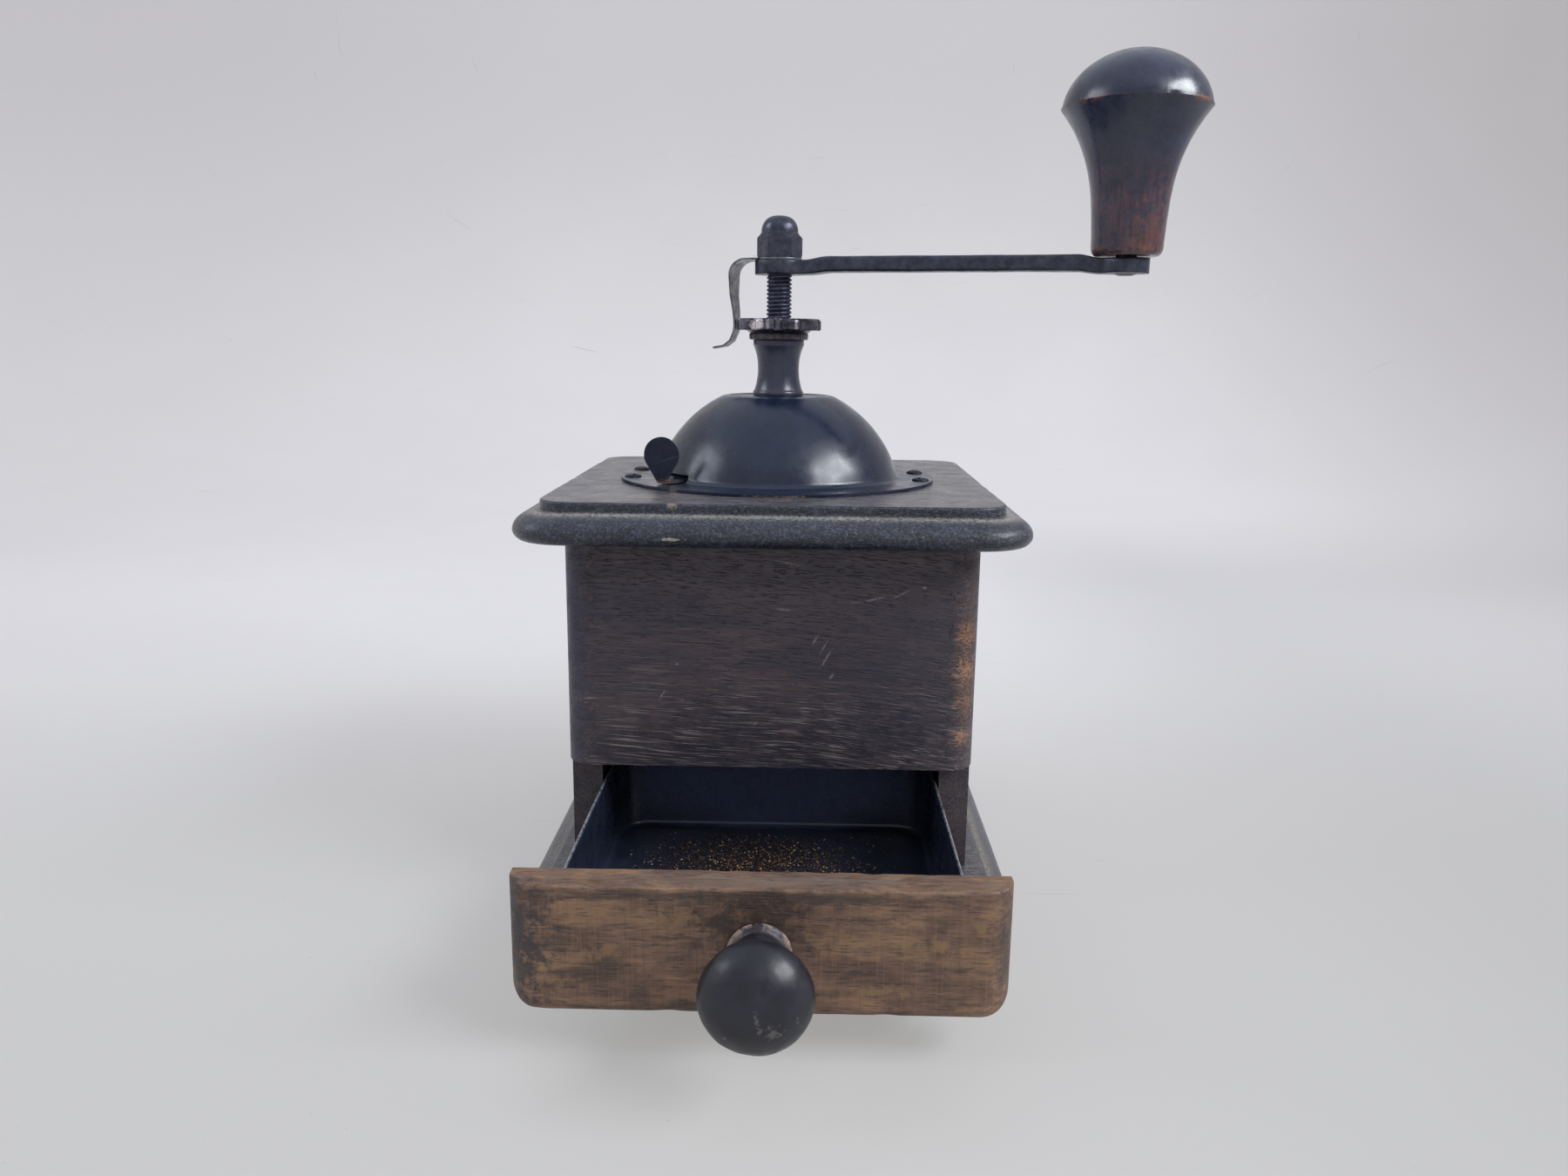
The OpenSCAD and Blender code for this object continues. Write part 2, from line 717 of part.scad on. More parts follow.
module cone_groove(foot) {
    lean = atan(burr_slope + 0.06);
    translate([foot, 0, housing_foot]) rotate([0, -lean, 0]) translate([0, 0, -3]) rotate(45)
        translate([-tooth_h * 0.7, -tooth_h * 0.7, 0]) cube([tooth_h * 1.4, tooth_h * 1.4, burr_h + 4]);
}

module burr_pin() {
    color("#6d6a66") rotate(crank_angle) translate([0, 0, pin_z]) rotate([0, 90, 0])
        cylinder(h = 2 * (burr_r - 4), r = pin_r, center = true);
}

module spindle_washer() {
    color("#4b403a") translate([0, 0, neck_top]) difference() {
        cylinder(h = washer_t, r = washer_r);
        translate([0, 0, -eps]) cylinder(h = washer_t + 2 * eps, r = bearing_r + 0.2);
    }
}

module adjusting_nut() {
    rim_z = washer_top + nut_foot_t;
    bevel = 0.7;
    color("#3a3a3c") difference() {
        rotate_extrude() polygon([
            [bearing_r, washer_top], [washer_r, washer_top], [washer_r + 1, rim_z],
            [nut_r - bevel / 2, rim_z], [nut_r, rim_z + bevel / 2], [nut_r, nut_top - bevel],
            [nut_r - bevel, nut_top], [bearing_r, nut_top]]);
        for (i = [0:nut_notches - 1]) rotate((i + 0.5) * 360 / nut_notches)
            translate([nut_r + notch_r * 0.2, 0, rim_z - eps]) cylinder(h = nut_t + 2 * eps, r = notch_r);
    }
}

// ---- Crank ----

// The hole for the spindle's flats, as a solid
module flats_hole(z, h) {
    intersection() {
        translate([0, 0, z - eps]) cylinder(h = h + 2 * eps, r = bearing_r);
        translate([0, 0, z + h / 2]) cube([4 * spindle_r, flats_w + 2 * bearing_gap, h + 1], center = true);
    }
}

module crank_arm() {
    bar_foot = crank_seat + 0.4;
    bar_top = bar_foot + crank_bar_t;
    ease = 5;
    hub_end = crank_hub_r + 1;
    tip_start = crank_r - crank_tip_r - 1;
    tip_end = crank_r + crank_tip_r + 1;
    end_top = crank_seat + crank_end_t;
    color("#26262a") rotate(crank_angle) difference() {
        intersection() {
            translate([0, 0, crank_seat - eps]) linear_extrude(crank_bar_t + 2) {
                circle(crank_hub_r);
                translate([crank_r, 0]) circle(crank_tip_r);
                translate([0, -crank_bar_w / 2]) square([crank_r, crank_bar_w]);
            }
            rotate([90, 0, 0]) linear_extrude(4 * crank_hub_r, center = true) polygon([
                [-crank_hub_r - 1, crank_seat], [hub_end, crank_seat], [hub_end + ease, bar_foot],
                [tip_start - ease, bar_foot], [tip_start, crank_seat], [tip_end, crank_seat],
                [tip_end, end_top], [tip_start, end_top], [tip_start - ease, bar_top],
                [hub_end + ease, bar_top], [hub_end, end_top], [-crank_hub_r - 1, end_top]]);
        }
        flats_hole(crank_seat, crank_end_t);
        translate([crank_r, 0, crank_seat - eps])
            cylinder(h = crank_end_t + 2 * eps, r = rivet_r + hole_gap);
    }
}

// The leaf under the cap nut that bends down past the adjusting nut's rim
module locking_leaf() {
    rub_r = nut_r + leaf_gap + leaf_t / 2;
    mid = leaf_seat + leaf_t / 2;
    drop = leaf_seat - nut_top;
    path = concat(
        [[crank_hub_r - 2, mid], [crank_hub_r + 1, mid]],
        arc_points(crank_hub_r + 2, mid - 5, 5.4, 5, 80, 0, curve_steps),
        [[rub_r + 0.9, nut_top + drop * 0.4], [rub_r + 0.2, nut_top + drop * 0.12],
            [rub_r, nut_top - nut_t / 2], [rub_r + 0.3, washer_top + nut_foot_t - 0.6],
            [rub_r + 1.6, washer_top - 2.6], [rub_r + 3.8, washer_top - 4.2],
            [rub_r + 7.4, washer_top - 4.9]]);
    color("#7d7f82") rotate(crank_angle + 180) {
        intersection() {
            rotate([90, 0, 0]) linear_extrude(leaf_w, center = true) polygon(sheet(path, leaf_t));
            rotate([90, 0, 90]) linear_extrude(4 * nut_r) polygon([
                [-leaf_w / 2, cap_seat + 1], [-leaf_w / 2, leaf_seat - 4], [-leaf_w * 0.28, nut_top],
                [-leaf_w * 0.24, neck_top - 5], [leaf_w * 0.24, neck_top - 5], [leaf_w * 0.28, nut_top],
                [leaf_w / 2, leaf_seat - 4], [leaf_w / 2, cap_seat + 1]]);
        }
        difference() {
            translate([0, 0, leaf_seat]) cylinder(h = leaf_t, r = crank_hub_r - 0.6);
            flats_hole(leaf_seat, leaf_t);
        }
    }
}

module cap_nut() {
    dome_r = cap_nut_w * 0.45;
    corner = cap_nut_w / sqrt(3);
    bevel = corner - cap_nut_w / 2;
    bore_top = cap_seat + cap_nut_h + 1.5 + spindle_end_gap;
    color("#25252a") translate([0, 0, 0]) rotate(crank_angle + 10) difference() {
        union() {
            intersection() {
                translate([0, 0, cap_seat]) cylinder(h = cap_nut_h, r = corner, $fn = 6);
                rotate_extrude() polygon([
                    [0, cap_seat], [corner - bevel / 2, cap_seat], [corner + eps, cap_seat + bevel / 2],
                    [corner + eps, cap_seat + cap_nut_h - bevel], [cap_nut_w / 2, cap_seat + cap_nut_h],
                    [0, cap_seat + cap_nut_h]]);
            }
            rotate_extrude() polygon(concat(
                [[0, cap_seat + 1], [dome_r, cap_seat + 1]],
                arc_points(0, cap_seat + cap_nut_h, dome_r, dome_r + 0.2, 0, 90, curve_steps)));
        }
        translate([0, 0, cap_seat - eps]) cylinder(h = bore_top - cap_seat + eps, r = bearing_r);
    }
}

// Outline of the turned crank knob, from its foot up to its crown
function knob_line() = let (h = crank_knob_h, w = crank_knob_waist_r, ridge_h = 0.72 * h) concat(
    arc_points(w - 2.4, 2.6, 1.8, 2.6, -90, 0, 5),
    [for (i = [1:2 * curve_steps]) let (t = i / (2 * curve_steps))
        [w - 0.6 + 0.6 * min(1, t * 4) + (crank_knob_r - w) * pow(t, 2.9), 2.6 + (ridge_h - 2.6) * t]],
    arc_points(0, ridge_h + 1, crank_knob_r - crown_inset, h - ridge_h - 1, 0, 76, curve_steps));

module crank_knob() {
    recess_r = rivet_head_r + 0.6;
    color("#1a1718") rotate(crank_angle) translate([crank_r, 0, crank_knob_z]) difference() {
        rotate_extrude() polygon(concat([[0, 0]], knob_line(), [[0, crank_knob_h]]));
        translate([0, 0, -eps]) cylinder(h = crank_knob_h + 1, r = rivet_r + rivet_gap);
        translate([0, 0, crank_knob_h - rivet_recess]) cylinder(h = rivet_recess + 1, r = recess_r);
    }
}

module knob_rivet() {
    head_z = crank_knob_z + crank_knob_h - rivet_recess + 0.2;
    color("#55524e") rotate(crank_angle) translate([crank_r, 0, 0]) rotate_extrude() polygon(concat(
        [[0, crank_seat - rivet_foot_h], [rivet_r * 0.7, crank_seat - rivet_foot_h],
            [rivet_r + 0.6, crank_seat - rivet_foot_h * 0.4], [rivet_r + 0.6, crank_seat],
            [rivet_r, crank_seat], [rivet_r, head_z], [rivet_head_r, head_z]],
        arc_points(0, head_z + 0.4, rivet_head_r, rivet_head_h - 0.4, 0, 90, curve_steps)));
}

// ---- Drawer ----

module drawer_front() {
    color("#4a3324") drawn_out() difference() {
        intersection() {
            box_outline();
            translate([0, (drawer_front_t - body_w) / 2, drawer_mid_z])
                cube([body_w, drawer_front_t, drawer_front_h], center = true);
        }
        at_tray_screws() screw_hole(screw_r, tray_screw_l, screw_head_r, tray_t);
        knob_screw_place() cylinder(h = 2 * drawer_front_t, r = knob_screw_r + hole_gap);
    }
}

// One rounded block of the tray, grown inward by depth
module tray_block(depth, top) {
    r = tray_r - depth;
    hull() for (x = [-1, 1], y = [-1, 1])
        translate([x * (tray_w / 2 - tray_r), y * (tray_l / 2 - tray_r), tray_r]) {
            sphere(r, $fn = 32);
            cylinder(h = top - tray_r, r = r, $fn = 32);
        }
}

module drawer_tray() {
    mid_y = -body_w / 2 + drawer_front_t + tray_l / 2;
    color("#14161d") drawn_out() difference() {
        translate([0, mid_y, tray_z]) difference() {
            tray_block(0, tray_h);
            tray_block(tray_t, tray_h + 1);
        }
        at_tray_screws() screw_hole(screw_r, tray_screw_l, screw_head_r, tray_t);
        knob_screw_place() cylinder(h = drawer_front_t, r = knob_screw_r + hole_gap);
    }
}

module tray_screws() {
    color("#6d6a66") drawn_out() at_tray_screws() difference() {
        screw(screw_r, tray_screw_l, screw_head_r, tray_t);
        screw_slot(screw_head_r, tray_t);
    }
}

// Outline of the turned drawer knob, from the drawer front out to its face
function drawer_knob_line() = let (l = drawer_knob_l, w = drawer_knob_waist_r, head = 0.32 * l) concat(
    [[knob_foot_r, 0], [knob_foot_r, 1], [w + 0.3, 1.6]],
    [for (i = [0:curve_steps]) let (t = i / curve_steps)
        [w + 1.2 * pow(t, 3), 2 + (l - 2 * head - 2.6) * t]],
    arc_points(0, l - head, drawer_knob_r, head, -55, 88, 2 * curve_steps));

module drawer_knob() {
    color("#1c1614") drawn_out() translate([0, -body_w / 2, drawer_mid_z]) rotate([90, 0, 0]) difference() {
        rotate_extrude() polygon(concat([[0, 0]], drawer_knob_line(), [[0, drawer_knob_l]]));
        translate([0, 0, -eps]) cylinder(h = drawer_knob_l * 0.6, r = knob_screw_r + hole_gap);
    }
}

module drawer_knob_screw() {
    color("#6d6a66") drawn_out() knob_screw_place() difference() {
        union() {
            cylinder(h = knob_screw_head_h, r = knob_screw_head_r);
            cylinder(h = knob_screw_l, r = knob_screw_r);
        }
        screw_slot(knob_screw_head_r, knob_screw_head_h);
    }
}

base_board();
left_panel();
right_panel();
back_panel();
front_panel();
top_board();
base_screws();
dome_cover();
flange_screws();
filler_door();
neck_bush();
burr_housing();
housing_screws();
bearing_bridge();
bridge_screws();
spindle();
burr_cone();
burr_pin();
spindle_washer();
adjusting_nut();
crank_arm();
locking_leaf();
cap_nut();
crank_knob();
knob_rivet();
drawer_front();
drawer_tray();
tray_screws();
drawer_knob();
drawer_knob_screw();
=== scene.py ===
"""Hand crank coffee grinder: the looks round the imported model.

Sizes are millimetres in the model's own frame, unless a name or a comment says otherwise:
+Z is up and the drawer faces -Y.
"""

import logging
import math
import random
from dataclasses import dataclass
from enum import Enum

import bmesh
import bpy
import numpy as np
from mathutils import Matrix, Vector, noise


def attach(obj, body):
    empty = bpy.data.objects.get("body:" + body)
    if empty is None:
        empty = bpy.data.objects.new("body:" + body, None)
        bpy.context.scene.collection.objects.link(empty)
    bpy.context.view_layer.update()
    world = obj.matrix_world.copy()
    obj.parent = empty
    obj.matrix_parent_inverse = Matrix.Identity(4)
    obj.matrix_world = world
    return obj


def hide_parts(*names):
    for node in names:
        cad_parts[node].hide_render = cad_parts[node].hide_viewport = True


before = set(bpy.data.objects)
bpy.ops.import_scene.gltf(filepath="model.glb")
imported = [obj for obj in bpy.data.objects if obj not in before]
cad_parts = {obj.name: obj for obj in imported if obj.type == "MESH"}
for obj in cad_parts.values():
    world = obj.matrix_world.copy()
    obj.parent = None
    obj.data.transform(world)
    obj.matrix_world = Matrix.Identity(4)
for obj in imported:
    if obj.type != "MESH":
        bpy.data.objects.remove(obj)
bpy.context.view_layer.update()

MM = 0.001
IMAGE_W = 1800
SENSOR_MM = 36.0
# A Mix node's colour sockets by number, since its other kinds have the same names
MIX_A, MIX_B, MIX_OUT = 6, 7, 2
log = logging.getLogger("coffee_grinder")


# ---- Colours and nodes ----

def linear(code: str) -> tuple[float, float, float, float]:
    """Turn an sRGB hex colour into a linear one.

    Args:
        code: Six hex digits with a leading hash.

    Returns:
        Red, green, blue and an alpha of 1.
    """
    channels = [int(code[i:i + 2], 16) / 255 for i in (1, 3, 5)]
    return (*(c / 12.92 if c <= 0.04045 else ((c + 0.055) / 1.055) ** 2.4 for c in channels), 1.0)


class Grain(Enum):
    """The axis that a piece's fibres or brush lines run along."""

    X = 0
    Y = 1
    Z = 2


def stretch(grain: Grain, along_mm: float, across_mm: float) -> tuple[float, float, float]:
    """Scale of a pattern that is long along the grain.

    Args:
        grain: The long axis.
        along_mm: Size of one feature along the grain.
        across_mm: Size of one feature across it.

    Returns:
        Features in each millimetre on each axis.
    """
    return tuple(1 / (along_mm if axis == grain.value else across_mm) for axis in range(3))


@dataclass(frozen=True)
class Spot:
    """A worn, dusty or scuffed place, given as a soft ellipsoid.

    The colour fades in over the share soft of its reach, and grit moves that edge in and out by
    up to the share broken. It leans about the Y axis, and streaky grit is long along X.
    """

    centre: tuple[float, float, float]
    reach: tuple[float, float, float]
    colour: str
    strength: float = 1.0
    soft: float = 0.5
    grit_mm: float = 3.0
    broken: float = 0.45
    lean_deg: float = 0.0
    streaky: bool = False


class Value:
    """A node's output that can be added to, multiplied and spread."""

    def __init__(self, surface: "Surface", socket: bpy.types.NodeSocket) -> None:
        """Hold a socket of a surface's material."""
        self.surface, self.socket = surface, socket

    def __add__(self, other: "Value | float") -> "Value":
        """Add a value or a number."""
        return self.surface.add("Math", {0: self, 1: other}, operation="ADD")

    def __mul__(self, other: "Value | float") -> "Value":
        """Multiply by a value or a number."""
        return self.surface.add("Math", {0: self, 1: other}, operation="MULTIPLY")

    def spread(self, low: float, high: float, to_low: float = 0.0,
               to_high: float = 1.0) -> "Value":
        """Spread part of the value's range smoothly over another range.

        Args:
            low: Where the range starts.
            high: Where it ends.
            to_low: What the start becomes.
            to_high: What the end becomes.

        Returns:
            The new value.
        """
        return self.surface.add("MapRange", {
            "Value": self, "From Min": low, "From Max": high, "To Min": to_low,
            "To Max": to_high}, interpolation_type="SMOOTHSTEP")


class Surface:
    """A material in the making: its nodes, and the colour and relief so far."""

    def __init__(self, name: str, base: str = "#000000") -> None:
        """Start with one colour and millimetre coordinates of the object's own frame.

        Args:
            name: The material's name.
            base: The colour that others are laid on.
        """
        self.material = bpy.data.materials.new(name)
        self.material.use_nodes = True
        self.tree = self.material.node_tree
        self.tree.nodes.clear()
        where = self.add("TexCoord", out="Object")
        self.mm = self.add("VectorMath", {0: where, 1: (1 / MM,) * 3}, operation="MULTIPLY")
        self.colour, self.normal = base, None

    def add(self, kind: str, inputs: dict | None = None, out: int | str = 0,
            stops: tuple = (), **settings: object) -> Value | None:
        """Add a node with its settings and links.

        Args:
            kind: The node's type without the ShaderNode prefix.
            inputs: A value, hex colour or number for each input, by name or number.
            out: The output to return, by name or number.
            stops: Places and hex colours of a colour ramp.
            settings: The node's own properties.

        Returns:
            The chosen output, if the node has any.
        """
        node = self.tree.nodes.new("ShaderNode" + kind)
        for key, value in settings.items():
            setattr(node, key, value)
        for key, value in (inputs or {}).items():
            if isinstance(value, Value):
                self.tree.links.new(value.socket, node.inputs[key])
            else:
                node.inputs[key].default_value = linear(value) if isinstance(value, str) else value
        for i, (place, code) in enumerate(stops):
            ramp = node.color_ramp.elements
            stop = ramp[i] if i < len(ramp) else ramp.new(place)
            stop.position, stop.color = place, linear(code)
        return Value(self, node.outputs[out]) if len(node.outputs) else None

    def speckle(self, size_mm: float | tuple, detail: float = 3, rough: float = 0.55,
                warp: float = 0.0, where: Value | None = None, out: str = "Fac") -> Value:
        """Lay a noise pattern of a real size.

        Args:
            size_mm: Feature size, or the features in each millimetre on each axis.
            detail: Octaves of finer noise.
            rough: Strength of the finer octaves.
            warp: Distortion of the pattern.
            where: Coordinates in millimetres, if not the object's own.
            out: Fac for one value or Color for three.

        Returns:
            Values from 0 to 1.
        """
        scale = size_mm if isinstance(size_mm, tuple) else (1 / size_mm,) * 3
        place = self.add("VectorMath", {0: where or self.mm, 1: scale}, operation="MULTIPLY")
        return self.add("TexNoise", {"Vector": place, "Scale": 1.0, "Detail": detail,
                                     "Roughness": rough, "Distortion": warp}, out)

    def marked(self, name: str, size_mm: float, detail: float, rough: float, low: float,
               high: float) -> Value:
        """Break up a value that the mesh holds at its points.

        Args:
            name: The value's name; it is 0 where a mesh has none.
            size_mm: Size of the grit that breaks it.
            detail: Octaves of finer grit.
            rough: Strength of the finer octaves.
            low: Grit below this hides the mark.
            high: Grit above this shows all of it.

        Returns:
            The broken mark.
        """
        mark = self.add("Attribute", out="Fac", attribute_name=name)
        return mark * self.speckle(size_mm, detail, rough).spread(low, high)

    def near(self, spot: Spot) -> Value:
        """Measure how strongly a spot covers a point.

        Args:
            spot: The place.

        Returns:
            A share from 0 to the spot's strength, broken up by its grit.
        """
        away = self.add("VectorMath", {0: self.mm, 1: spot.centre}, operation="SUBTRACT")
        if spot.lean_deg:
            away = self.add("VectorRotate", {"Vector": away, "Angle": math.radians(spot.lean_deg)},
                            rotation_type="Y_AXIS")
        share = self.add("VectorMath", {0: away, 1: tuple(1 / r for r in spot.reach)},
                         operation="MULTIPLY")
        length = self.add("VectorMath", {0: share}, "Value", operation="LENGTH")
        grit = spot.grit_mm
        size = stretch(Grain.X, 4 * grit, 0.6 * grit) if spot.streaky else grit
        edge = length + self.speckle(size, 5, 0.7).spread(0.3, 0.7, -spot.broken, spot.broken)
        return edge.spread(1.0, 1.0 - spot.soft, 0.0, spot.strength)

    def lay(self, colour: Value | str, *shares: Value | float) -> None:
        """Lay a colour over what is there.

        Args:
            colour: The colour.
            shares: How much it covers, as factors of one product; the first is a value.
        """
        cover = shares[0]
        for share in shares[1:]:
            cover = cover * share
        self.colour = self.add("Mix", {0: cover, MIX_A: self.colour, MIX_B: colour}, MIX_OUT,
                               data_type="RGBA")

    def lay_spots(self, spots: tuple[Spot, ...]) -> None:
        """Lay each spot in its own colour."""
        for spot in spots:
            self.lay(spot.colour, self.near(spot))

    def relief(self, height: Value, depth_mm: float, strength: float = 1.0) -> None:
        """Add fine relief on top of what is there.

        Args:
            height: A value from 0 to 1.
            depth_mm: Height of the relief.
            strength: Share of it that is used.
        """
        under = {"Normal": self.normal} if self.normal else {}
        self.normal = self.add("Bump", {"Height": height, "Distance": depth_mm * MM,
                                        "Strength": strength, **under})

    def finish(self, gloss: Value | float, **sockets: object) -> bpy.types.Material:
        """Close the material.

        Args:
            gloss: Its roughness.
            sockets: Other values of the shader, with underscores for spaces.

        Returns:
            The material.
        """
        others = {key.replace("_", " "): value for key, value in sockets.items()}
        shader = self.add("BsdfPrincipled", {"Base Color": self.colour, "Roughness": gloss,
                                             **others, "Normal": self.normal})
        self.add("OutputMaterial", {"Surface": shader})
        return self.material


# ---- Finishes ----

@dataclass(frozen=True)
class StainedWood:
    """Beech or oak, sawn and sanded, stained dark and thinly varnished.

    The stain sits in the pores and between the fibres, so the grain stays visible as dark
    streaks on brown, and the varnish gives a dull, broken sheen. The fibres lean and arch, hatch
    is the strength of the saw marks, and chalk that of the pale wax in the vessels.
    """

    name: str
    grain: Grain
    dark: str
    middle: str
    light: str
    pore: str
    wear: str = "#7a4f31"
    dust: str = "#6b6763"
    wax: str = "#948884"
    roughness: float = 0.5
    wave_mm: float = 2.5
    streak_mm: tuple[float, float] = (26, 1.1)
    figure_mm: tuple[float, float] = (60, 9)
    pore_mm: tuple[float, float] = (7, 0.5)
    relief_mm: float = 0.12
    chalk: float = 0.0
    chalk_below: float = 1000.0
    hatch: float = 0.0
    lean: float = 0.0
    arch: float = 0.0
    figure_share: float = 0.4
    vessel_share: float = 0.8
    spots: tuple[Spot, ...] = ()

    def build(self) -> bpy.types.Material:
        """Make the material.

        Returns:
            The material.
        """
        s, wave = Surface(self.name), self.wave_mm
        # Slow waves in the fibres, as wide as a growth ring wanders
        wander = s.speckle(stretch(self.grain, 90, 34), 1, 0.5, out="Color")
        push = s.add("VectorMath", {0: wander, 1: (2 * wave,) * 3, 2: (-wave,) * 3},
                     operation="MULTIPLY_ADD")
        # The fibres lean and arch across the whole board
        along = s.add("SeparateXYZ", {0: s.mm}, self.grain.name)
        rise = s.add("CombineXYZ", {"Z": along * (along * self.arch + self.lean)})
        place = s.mm
        for shift in (push, rise):
            place = s.add("VectorMath", {0: place, 1: shift}, operation="ADD")
        fibre = s.speckle(stretch(self.grain, *self.streak_mm), 6, 0.7, 0.0, place)
        figure = s.speckle(stretch(self.grain, *self.figure_mm), 3, 0.6, 0.6, place)
        # Open vessels are drawn wider than the real 0.2 mm, so that they show
        vessels = s.speckle(stretch(self.grain, *self.pore_mm), 3, 0.5, 0.0, place)
        vessel = vessels.spread(0.56, 0.68)
        tone = fibre * (1 - self.figure_share) + figure * self.figure_share
        s.colour = s.add("ValToRGB", {"Fac": tone}, stops=(
            (0.38, self.dark), (0.5, self.middle), (0.61, self.light)))
        s.lay(self.pore, vessel, self.vessel_share)
        if self.hatch:
            # Saw marks across the grain, about 1.2 mm apart
            saw = s.speckle(stretch(Grain.Z, 22, 0.55), 3, 0.6)
            s.lay(self.light, saw.spread(0.5, 0.68), self.hatch)
            s.lay(self.dark, saw.spread(0.46, 0.32), self.hatch)
        for spot in self.spots:
            streaked = s.add("Mix", {0: fibre * 0.6, MIX_A: spot.colour, MIX_B: self.dark},
                             MIX_OUT, data_type="RGBA")
            s.lay(streaked, s.near(spot))
        if self.chalk:
            # Pale wax and dust that has dried in other vessels, most of it low down
            height = s.add("SeparateXYZ", {0: s.mm}, "Z")
            low = height.spread(self.chalk_below + 20, self.chalk_below - 4, 0.14, 1.0)
            other = s.add("VectorMath", {0: place, 1: (31, 17, 23)}, operation="ADD")
            pale = s.speckle(stretch(self.grain, 15, 0.28), 2, 0.5, 0.0, other)
            patch = s.speckle(18, 3).spread(0.35, 0.6, 0.15, 1.0)
            s.lay(self.wax, pale.spread(0.55, 0.67), low, patch, self.chalk)
        s.lay(self.wear, s.marked("wear", 2.2, 5, 0.7, 0.4, 0.6))
        dusty = s.marked("dust", 1.6, 5, 0.75, 0.34, 0.62)
        s.lay(self.dust, dusty)
        sheen = s.speckle(5, 4).spread(0.3, 0.7, self.roughness - 0.08, self.roughness + 0.12)
        s.relief(fibre, self.relief_mm, 0.7)
        s.relief(vessel, -self.relief_mm, 0.9)
        return s.finish(sheen + dusty * 0.25, IOR=1.5)


@dataclass(frozen=True)
class DarkLacquer:
    """Brushed blue-black lacquer over wood.

    Thick lacquer pulls into an orange-peel skin of cells over 1 mm wide that breaks up each
    highlight. It is rubbed brown at edges, and grey dust stays in the inside corners.
    """

    name: str
    deep: str = "#121522"
    thin: str = "#1c202e"
    chip: str = "#8d7f70"
    dust: str = "#99968e"
    peel_glint: str = "#4a4f5e"
    pit_shade: str = "#0c0e15"
    pale_patches: str = "#77716d"
    roughness: float = 0.3
    peel_mm: float = 1.4
    peel_depth_mm: float = 0.32
    painted_top_sheen: float = 0.0
    spots: tuple[Spot, ...] = ()

    def build(self) -> bpy.types.Material:
        """Make the material.

        Returns:
            The material.
        """
        s = Surface(self.name, self.deep)
        cloud = s.speckle(9, 4)
        peel = s.speckle(self.peel_mm, 2, 0.5)
        fine = s.speckle(0.6, 2, 0.6)
        fibre = s.speckle(stretch(Grain.X, 7, 0.8), 5, 0.7, 1.6)
        s.lay(self.thin, cloud.spread(0.35, 0.65))
        # Painted glints on the peel's peaks and painted shade in its pits make the skin look grainy
        s.lay(self.peel_glint, peel.spread(0.54, 0.68, 0.0, 0.5))
        s.lay(self.peel_glint, fine.spread(0.53, 0.66, 0.0, 0.7))
        s.lay(self.pit_shade, fine.spread(0.46, 0.36, 0.0, 0.6))
        # Painted sheen: the flat top is greyed where its faces look up, with the grain showing
        # through
        facing = s.add("SeparateXYZ", {0: s.add("NewGeometry", out="Normal")}, "Z")
        s.lay(self.pale_patches, facing.spread(0.95, 0.995), fibre.spread(0.44, 0.58), self.painted_top_sheen)
        s.lay_spots(self.spots)
        s.lay(self.chip, s.marked("wear", 1.0, 5, 0.75, 0.6, 0.66), 0.8)
        dusty = s.marked("dust", 0.8, 4, 0.75, 0.36, 0.6)
        s.lay(self.dust, dusty)
        s.relief(peel, self.peel_depth_mm)
        s.relief(fibre, 0.28, 0.8)
        sheen = cloud.spread(0.3, 0.7, self.roughness - 0.06, self.roughness + 0.1)
        return s.finish(sheen + dusty * 0.4, IOR=1.5, Coat_Weight=0.25, Coat_Roughness=0.25)


@dataclass(frozen=True)
class TurnedLacquer:
    """Blue-black lacquer on turned beech, rubbed by the hand.

    The crown stays glossy, and the ridge and the stem wear through to red-brown.
    """

    name: str
    axis: Grain
    skin: str = "#191f33"
    cloudy: str = "#262b3f"
    under: str = "#54373f"
    bare: str = "#84563f"
    roughness: float = 0.24
    stem_wear: float = 0.8
    coat: float = 0.3
    spots: tuple[Spot, ...] = ()
    under_dark: str = "#2b1f23"

    def build(self) -> bpy.types.Material:
        """Make the material.

        Returns:
            The material.
        """
        s = Surface(self.name, self.skin)
        long_grain = s.speckle(stretch(self.axis, 14, 1.1), 6, 0.7, 0.4)
        # Rings left by the turning tool, about 0.5 mm apart
        rings = s.speckle(stretch(self.axis, 0.45, 30), 3, 0.6)
        s.lay(self.cloudy, s.speckle(7, 4).spread(0.38, 0.66))
        wood = s.add("Mix", {0: long_grain.spread(0.4, 0.62), MIX_A: self.under,
                             MIX_B: self.under_dark}, MIX_OUT, data_type="RGBA")
        s.lay(wood, s.marked("stem", 4.5, 5, 0.7, 0.36, 0.54), self.stem_wear)
        s.lay_spots(self.spots)
        worn = s.marked("wear", 2.6, 5, 0.72, 0.44, 0.58)
        s.lay(self.bare, worn)
        s.relief(s.speckle(9, 1), 0.06, 0.6)
        s.relief(long_grain, 0.05, 0.8)
        s.relief(rings, 0.012, 0.6)
        sheen = s.speckle(3.5, 4).spread(0.3, 0.75, self.roughness - 0.05, self.roughness + 0.14)
        return s.finish(sheen + worn * 0.2, IOR=1.5, Coat_Weight=self.coat, Coat_Roughness=0.16)


